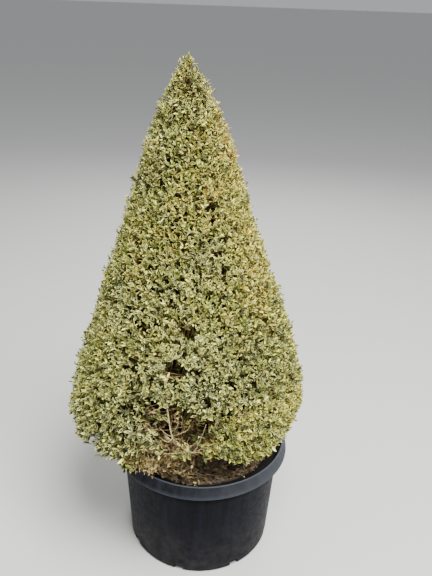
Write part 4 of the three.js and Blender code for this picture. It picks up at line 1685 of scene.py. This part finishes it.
@dataclass
class DryTangle:
    """Bare tan twigs in the thin patch and over the rim, with a few dead leaves. Forks are in millimetres."""

    shape: CrownShape
    patch_twigs: int = 46
    tangle_twigs: int = 64
    tangle_angles: tuple[float, float] = (-140, -100)
    tangle_radii: tuple[float, float] = (0.208, 0.160)
    tangle_heights: tuple[float, float] = (0.313, 0.376)
    side_twig_length: float = 0.026
    twig_taper: tuple[float, float] = (1.05 * MM, 0.5 * MM)
    fork_taper: tuple[float, float] = (0.9 * MM, 0.4 * MM)
    fork_steps: int = 12
    dry_sprays: int = 100
    dry_reach: float = 0.201
    patch_sprays: int = 45
    tuft_sprays: int = 88
    tuft_edge: Route = ((-0.168, -0.188, 0.360), (-0.100, -0.202, 0.352))
    straw_top: float = 0.4
    steps: int = 7
    forks: tuple[Route, ...] = (
        ((-58, -253, 483), (-68, -262, 493), (-76, -265, 503), (-84, -264, 512)),
        ((-58, -253, 479), (-66, -266, 478), (-76, -268, 484), (-86, -269, 493)),
        ((-58, -253, 483), (-44, -265, 499), (-24, -268, 514), (-19, -269, 527)),
        ((-58, -253, 478), (-41, -268, 474), (-30, -263, 450), (-29, -257, 416)),
        ((-31, -263, 452), (-14, -268, 453), (0, -268, 454), (12, -268, 456)),
        ((-31, -263, 452), (-22, -269, 466), (-10, -273, 480), (-1, -274, 492)),
        ((-30, -262, 449), (-44, -265, 448), (-60, -267, 447), (-77, -268, 447)),
        ((-30, -260, 436), (-10, -266, 455), (4, -268, 490), (15, -264, 527)),
        ((-30, -260, 434), (-2, -268, 459), (12, -271, 468), (25, -272, 477)),
        ((-60, -250, 494), (-52, -264, 510), (-47, -266, 521), (-44, -266, 532)),
        ((-70, -240, 556), (-87, -250, 553), (-100, -250, 546), (-112, -248, 538)),
        ((-71, -240, 564), (-76, -241, 578), (-85, -238, 592), (-92, -234, 604)),
    )

    def wandering(self, start: Array, end: Array, wander: float, rng: Rng) -> Array:
        """Crooked paths between pairs of places.

        Each is a straight line moved aside by a random walk that is pinned to zero at both ends.

        Args:
            start: Where each path starts.
            end: Where each path ends.
            wander: How far it strays, as a share of its length.
            rng: Source of random numbers.

        Returns:
            The places, (paths, steps, 3).
        """
        share = np.linspace(0, 1, self.steps)[None, :, None]
        walk = np.cumsum(rng.normal(0, 1, (len(start), self.steps, 3)), axis=1)
        walk = walk - mix(walk[:, :1], walk[:, -1:], share)
        reach = np.linalg.norm(end - start, axis=1)[:, None, None]
        return mix(start[:, None], end[:, None], share) + walk * wander * reach / self.steps ** 0.5

    def side_twigs(self, paths: Array, rng: Rng) -> Array:
        """Short twigs that fork off longer ones, two on each.

        Args:
            paths: The longer twigs.
            rng: Source of random numbers.

        Returns:
            Their paths.
        """
        owner = np.repeat(np.arange(len(paths)), 2)
        step = rng.integers(2, self.steps - 1, len(owner))
        start = paths[owner, step]
        ahead = unit(paths[owner, step + 1] - start)
        way = unit(ahead + rng.normal(0, 0.6, start.shape) + 0.25 * UP)
        end = start + way * self.side_twig_length * rng.uniform(0.5, 1.4, (len(owner), 1))
        return self.wandering(start, end, 0.12, rng)

    def patch(self, rng: Rng) -> Array:
        """Twigs that climb out of the crown through the thin patch.

        Args:
            rng: Source of random numbers.

        Returns:
            Their paths.
        """
        count, gap = self.patch_twigs, self.shape.thin
        height = gap.height + gap.tall * rng.uniform(-0.85, 0.75, count)
        angle = math.radians(gap.degrees + 8) + gap.wide / 0.28 * rng.uniform(-0.7, 0.7, count)
        end = self.shape.place(height, angle, rng.uniform(0.010, 0.034, count))
        lower = np.maximum(height - rng.uniform(0.03, 0.09, count), 0.335)
        start = self.shape.place(lower, angle + rng.normal(0, 0.15, count), rng.uniform(0.06, 0.11, count))
        return self.wandering(start, end, 0.08, rng)

    def tangle(self, rng: Rng) -> Array:
        """Twigs that lie crossed between the soil and the lowest leaves at the front.

        Args:
            rng: Source of random numbers.

        Returns:
            Their paths.
        """
        count = self.tangle_twigs
        angle = np.radians(rng.uniform(*self.tangle_angles, (2, count)))
        angle[1] = angle[0] + rng.choice((-1, 1), count) * rng.uniform(0.12, 0.42, count)
        share = rng.random((2, count))
        share[1] = np.clip(share[0] + rng.uniform(-0.3, 0.3, count), 0, 1)
        radius = mix(*self.tangle_radii, share) - 0.008 * rng.random((2, count))
        height = mix(*self.tangle_heights, share) + rng.uniform(-0.004, 0.006, (2, count))
        return self.wandering(*polar(radius, angle, height), 0.1, rng)

    def dry_leaves(self, paths: Array, patch: Array, rng: Rng) -> Leaves:
        """Dry shoots that stand on twigs, with their leaves still on.

        Args:
            paths: The twigs of the tangle.
            patch: The twigs in the thin patch.
            rng: Source of random numbers.

        Returns:
            The leaves.
        """
        count = self.dry_sprays
        foot = paths[rng.integers(0, len(paths), count), rng.integers(1, self.steps, count)]
        foot = foot[np.hypot(foot[:, 0], foot[:, 1]) < self.dry_reach]
        edge = mix(*np.array(self.tuft_edge), rng.random((self.tuft_sprays, 1)))
        count = self.patch_sprays
        shaded = patch[rng.integers(0, len(patch), count), rng.integers(2, self.steps, count)]
        foot = np.concatenate([foot, edge + rng.normal(0, 0.007, edge.shape), shaded])
        axis = unit(rng.normal(0, 0.6, foot.shape) + np.array([0, -0.4, 0.5]))
        length, size = rng.uniform(0.010, 0.018, len(foot)), rng.uniform(0.009, 0.013, len(foot))
        return Sprays(foot, axis, length, size, rng.uniform(0, 6, len(foot))).leaves(2, rng)[0]

    def build(self) -> None:
        """Makes the twigs and their dead leaves."""
        rng = np.random.default_rng(19)
        mass = ("twigs_front_low",)
        patch, tangle = self.patch(rng), self.tangle(rng)
        long_twigs = np.concatenate([patch, tangle])
        short_twigs = self.side_twigs(long_twigs, rng)
        thick = mix(*self.twig_taper, np.linspace(0, 1, self.steps))
        long_tubes = tubes(long_twigs, thick * rng.uniform(0.5, 1.1, (len(long_twigs), 1)), 5)
        woody = BarkFinish("dry_bark", "766440", "c9b27f").material()
        twigs = joined([long_tubes, tubes(short_twigs, 0.6 * thick, 4)])
        twigs.piece("dry_twigs", woody, Slot.DRY_TWIG, mass, smooth=True)
        paths = np.stack([path_through(fork, self.fork_steps) for fork in self.forks])
        forked = BarkFinish("fork_bark", "857048", "cdb688").material()
        forks = tubes(paths, mix(*self.fork_taper, np.linspace(0, 1, self.fork_steps)), 7)
        forks.piece("front_forks", forked, Slot.BARK, smooth=True)
        leaves = self.dry_leaves(tangle, patch, rng)
        pick = rng.random(len(leaves.root))
        pick = np.where(leaves.root[:, 2] > self.straw_top, 0.5 + 0.5 * pick, pick)
        leaves.dry_pieces("dead", pick, (0.45, 0.8), mass)


@dataclass(frozen=True)
class Lamp:
    """A square soft lamp that points at the middle of the plant."""

    name: str
    place: tuple[float, float, float]
    size: float
    watts: float

    def hang(self, target: Vector) -> None:
        """Hangs the lamp and points it.

        Args:
            target: The place that it points at.
        """
        data = bpy.data.lights.new(self.name, "AREA")
        data.size = self.size
        data.energy = self.watts
        lamp = bpy.data.objects.new(self.name, data)
        lamp.location = self.place
        lamp.rotation_euler = (target - Vector(self.place)).to_track_quat("-Z", "Y").to_euler()
        bpy.context.scene.collection.objects.link(lamp)


@dataclass
class Studio:
    """A plain pale floor, soft light and the camera."""

    camera_place: tuple[float, float, float] = (0.0255, -1.3482, 1.3466)
    pitch: float = math.radians(24.67)
    roll: float = math.radians(-2.03)
    lens: float = 38.75
    view_end: float = 1000
    floor_half: float = 400.0
    floor_drop: float = 0.0002
    air: tuple[float, float, float, float] = (0.93, 0.96, 1.0, 1)
    air_strength: float = 0.46
    lit_place: tuple[float, float, float] = (0, 0, 0.55)
    lamps: tuple[Lamp, ...] = (
        Lamp("key", (0.8, -1.4, 3.5), 1.8, 330.0),
        Lamp("fill", (2.4, -1.6, 2.4), 2.4, 22.0),
        Lamp("fill_left", (-3.0, -0.4, 2.2), 2.4, 8.0),
        Lamp("rim", (0.4, 2.8, 2.6), 2.2, 60.0),
    )

    def floor(self) -> None:
        """Lays the floor."""
        half = self.floor_half
        corners = [(-half, -half, 0), (half, -half, 0), (half, half, 0), (-half, half, 0)]
        mesh = bpy.data.meshes.new("floor")
        mesh.from_pydata(corners, [], [(0, 1, 2, 3)])
        mesh.materials.append(PlainFinish("pale_floor", "cfcecb", 0.9, 0.5).material())
        floor = bpy.data.objects.new("floor", mesh)
        floor.location.z = -self.floor_drop
        bpy.context.scene.collection.objects.link(floor)

    def light(self) -> None:
        """Hangs the lamps and sets the pale surroundings."""
        world = bpy.data.worlds.new("studio")
        world.use_nodes = True
        background = world.node_tree.nodes["Background"]
        background.inputs["Color"].default_value = self.air
        background.inputs["Strength"].default_value = self.air_strength
        bpy.context.scene.world = world
        for lamp in self.lamps:
            lamp.hang(Vector(self.lit_place))

    def camera(self) -> None:
        """Sets up the camera where the photograph was taken from.

        It looks along +Y, tipped down by the pitch, and is then turned about its own line of sight by the
        roll.
        """
        ahead = Vector((0, math.cos(self.pitch), -math.sin(self.pitch)))
        down = Vector((0, -math.sin(self.pitch), -math.cos(self.pitch)))
        right = Vector((1, 0, 0))
        x_axis = math.cos(self.roll) * right + math.sin(self.roll) * down
        y_axis = math.sin(self.roll) * right - math.cos(self.roll) * down
        data = bpy.data.cameras.new("camera")
        data.lens = self.lens
        data.clip_end = self.view_end
        camera = bpy.data.objects.new("camera", data)
        turn = Matrix((x_axis, y_axis, -ahead)).transposed().to_4x4()
        camera.matrix_world = Matrix.Translation(self.camera_place) @ turn
        bpy.context.scene.collection.objects.link(camera)
        bpy.context.scene.camera = camera

    def build(self) -> None:
        """Makes the floor, the lamps and the camera."""
        self.floor()
        self.light()
        self.camera()


def main() -> None:
    """Builds the plant and its planter, part by part, and writes how large they came out."""
    logging.basicConfig(level=logging.INFO, format="%(name)s: %(message)s")
    planter, shape, limbs = Planter(), CrownShape(), Limbs()
    for part in (planter, Soil(planter), limbs, Foliage(shape, limbs), DryTangle(shape), Studio()):
        part.build()
        log.info("%s is built", type(part).__name__)


if __name__ == "__main__":
    main()
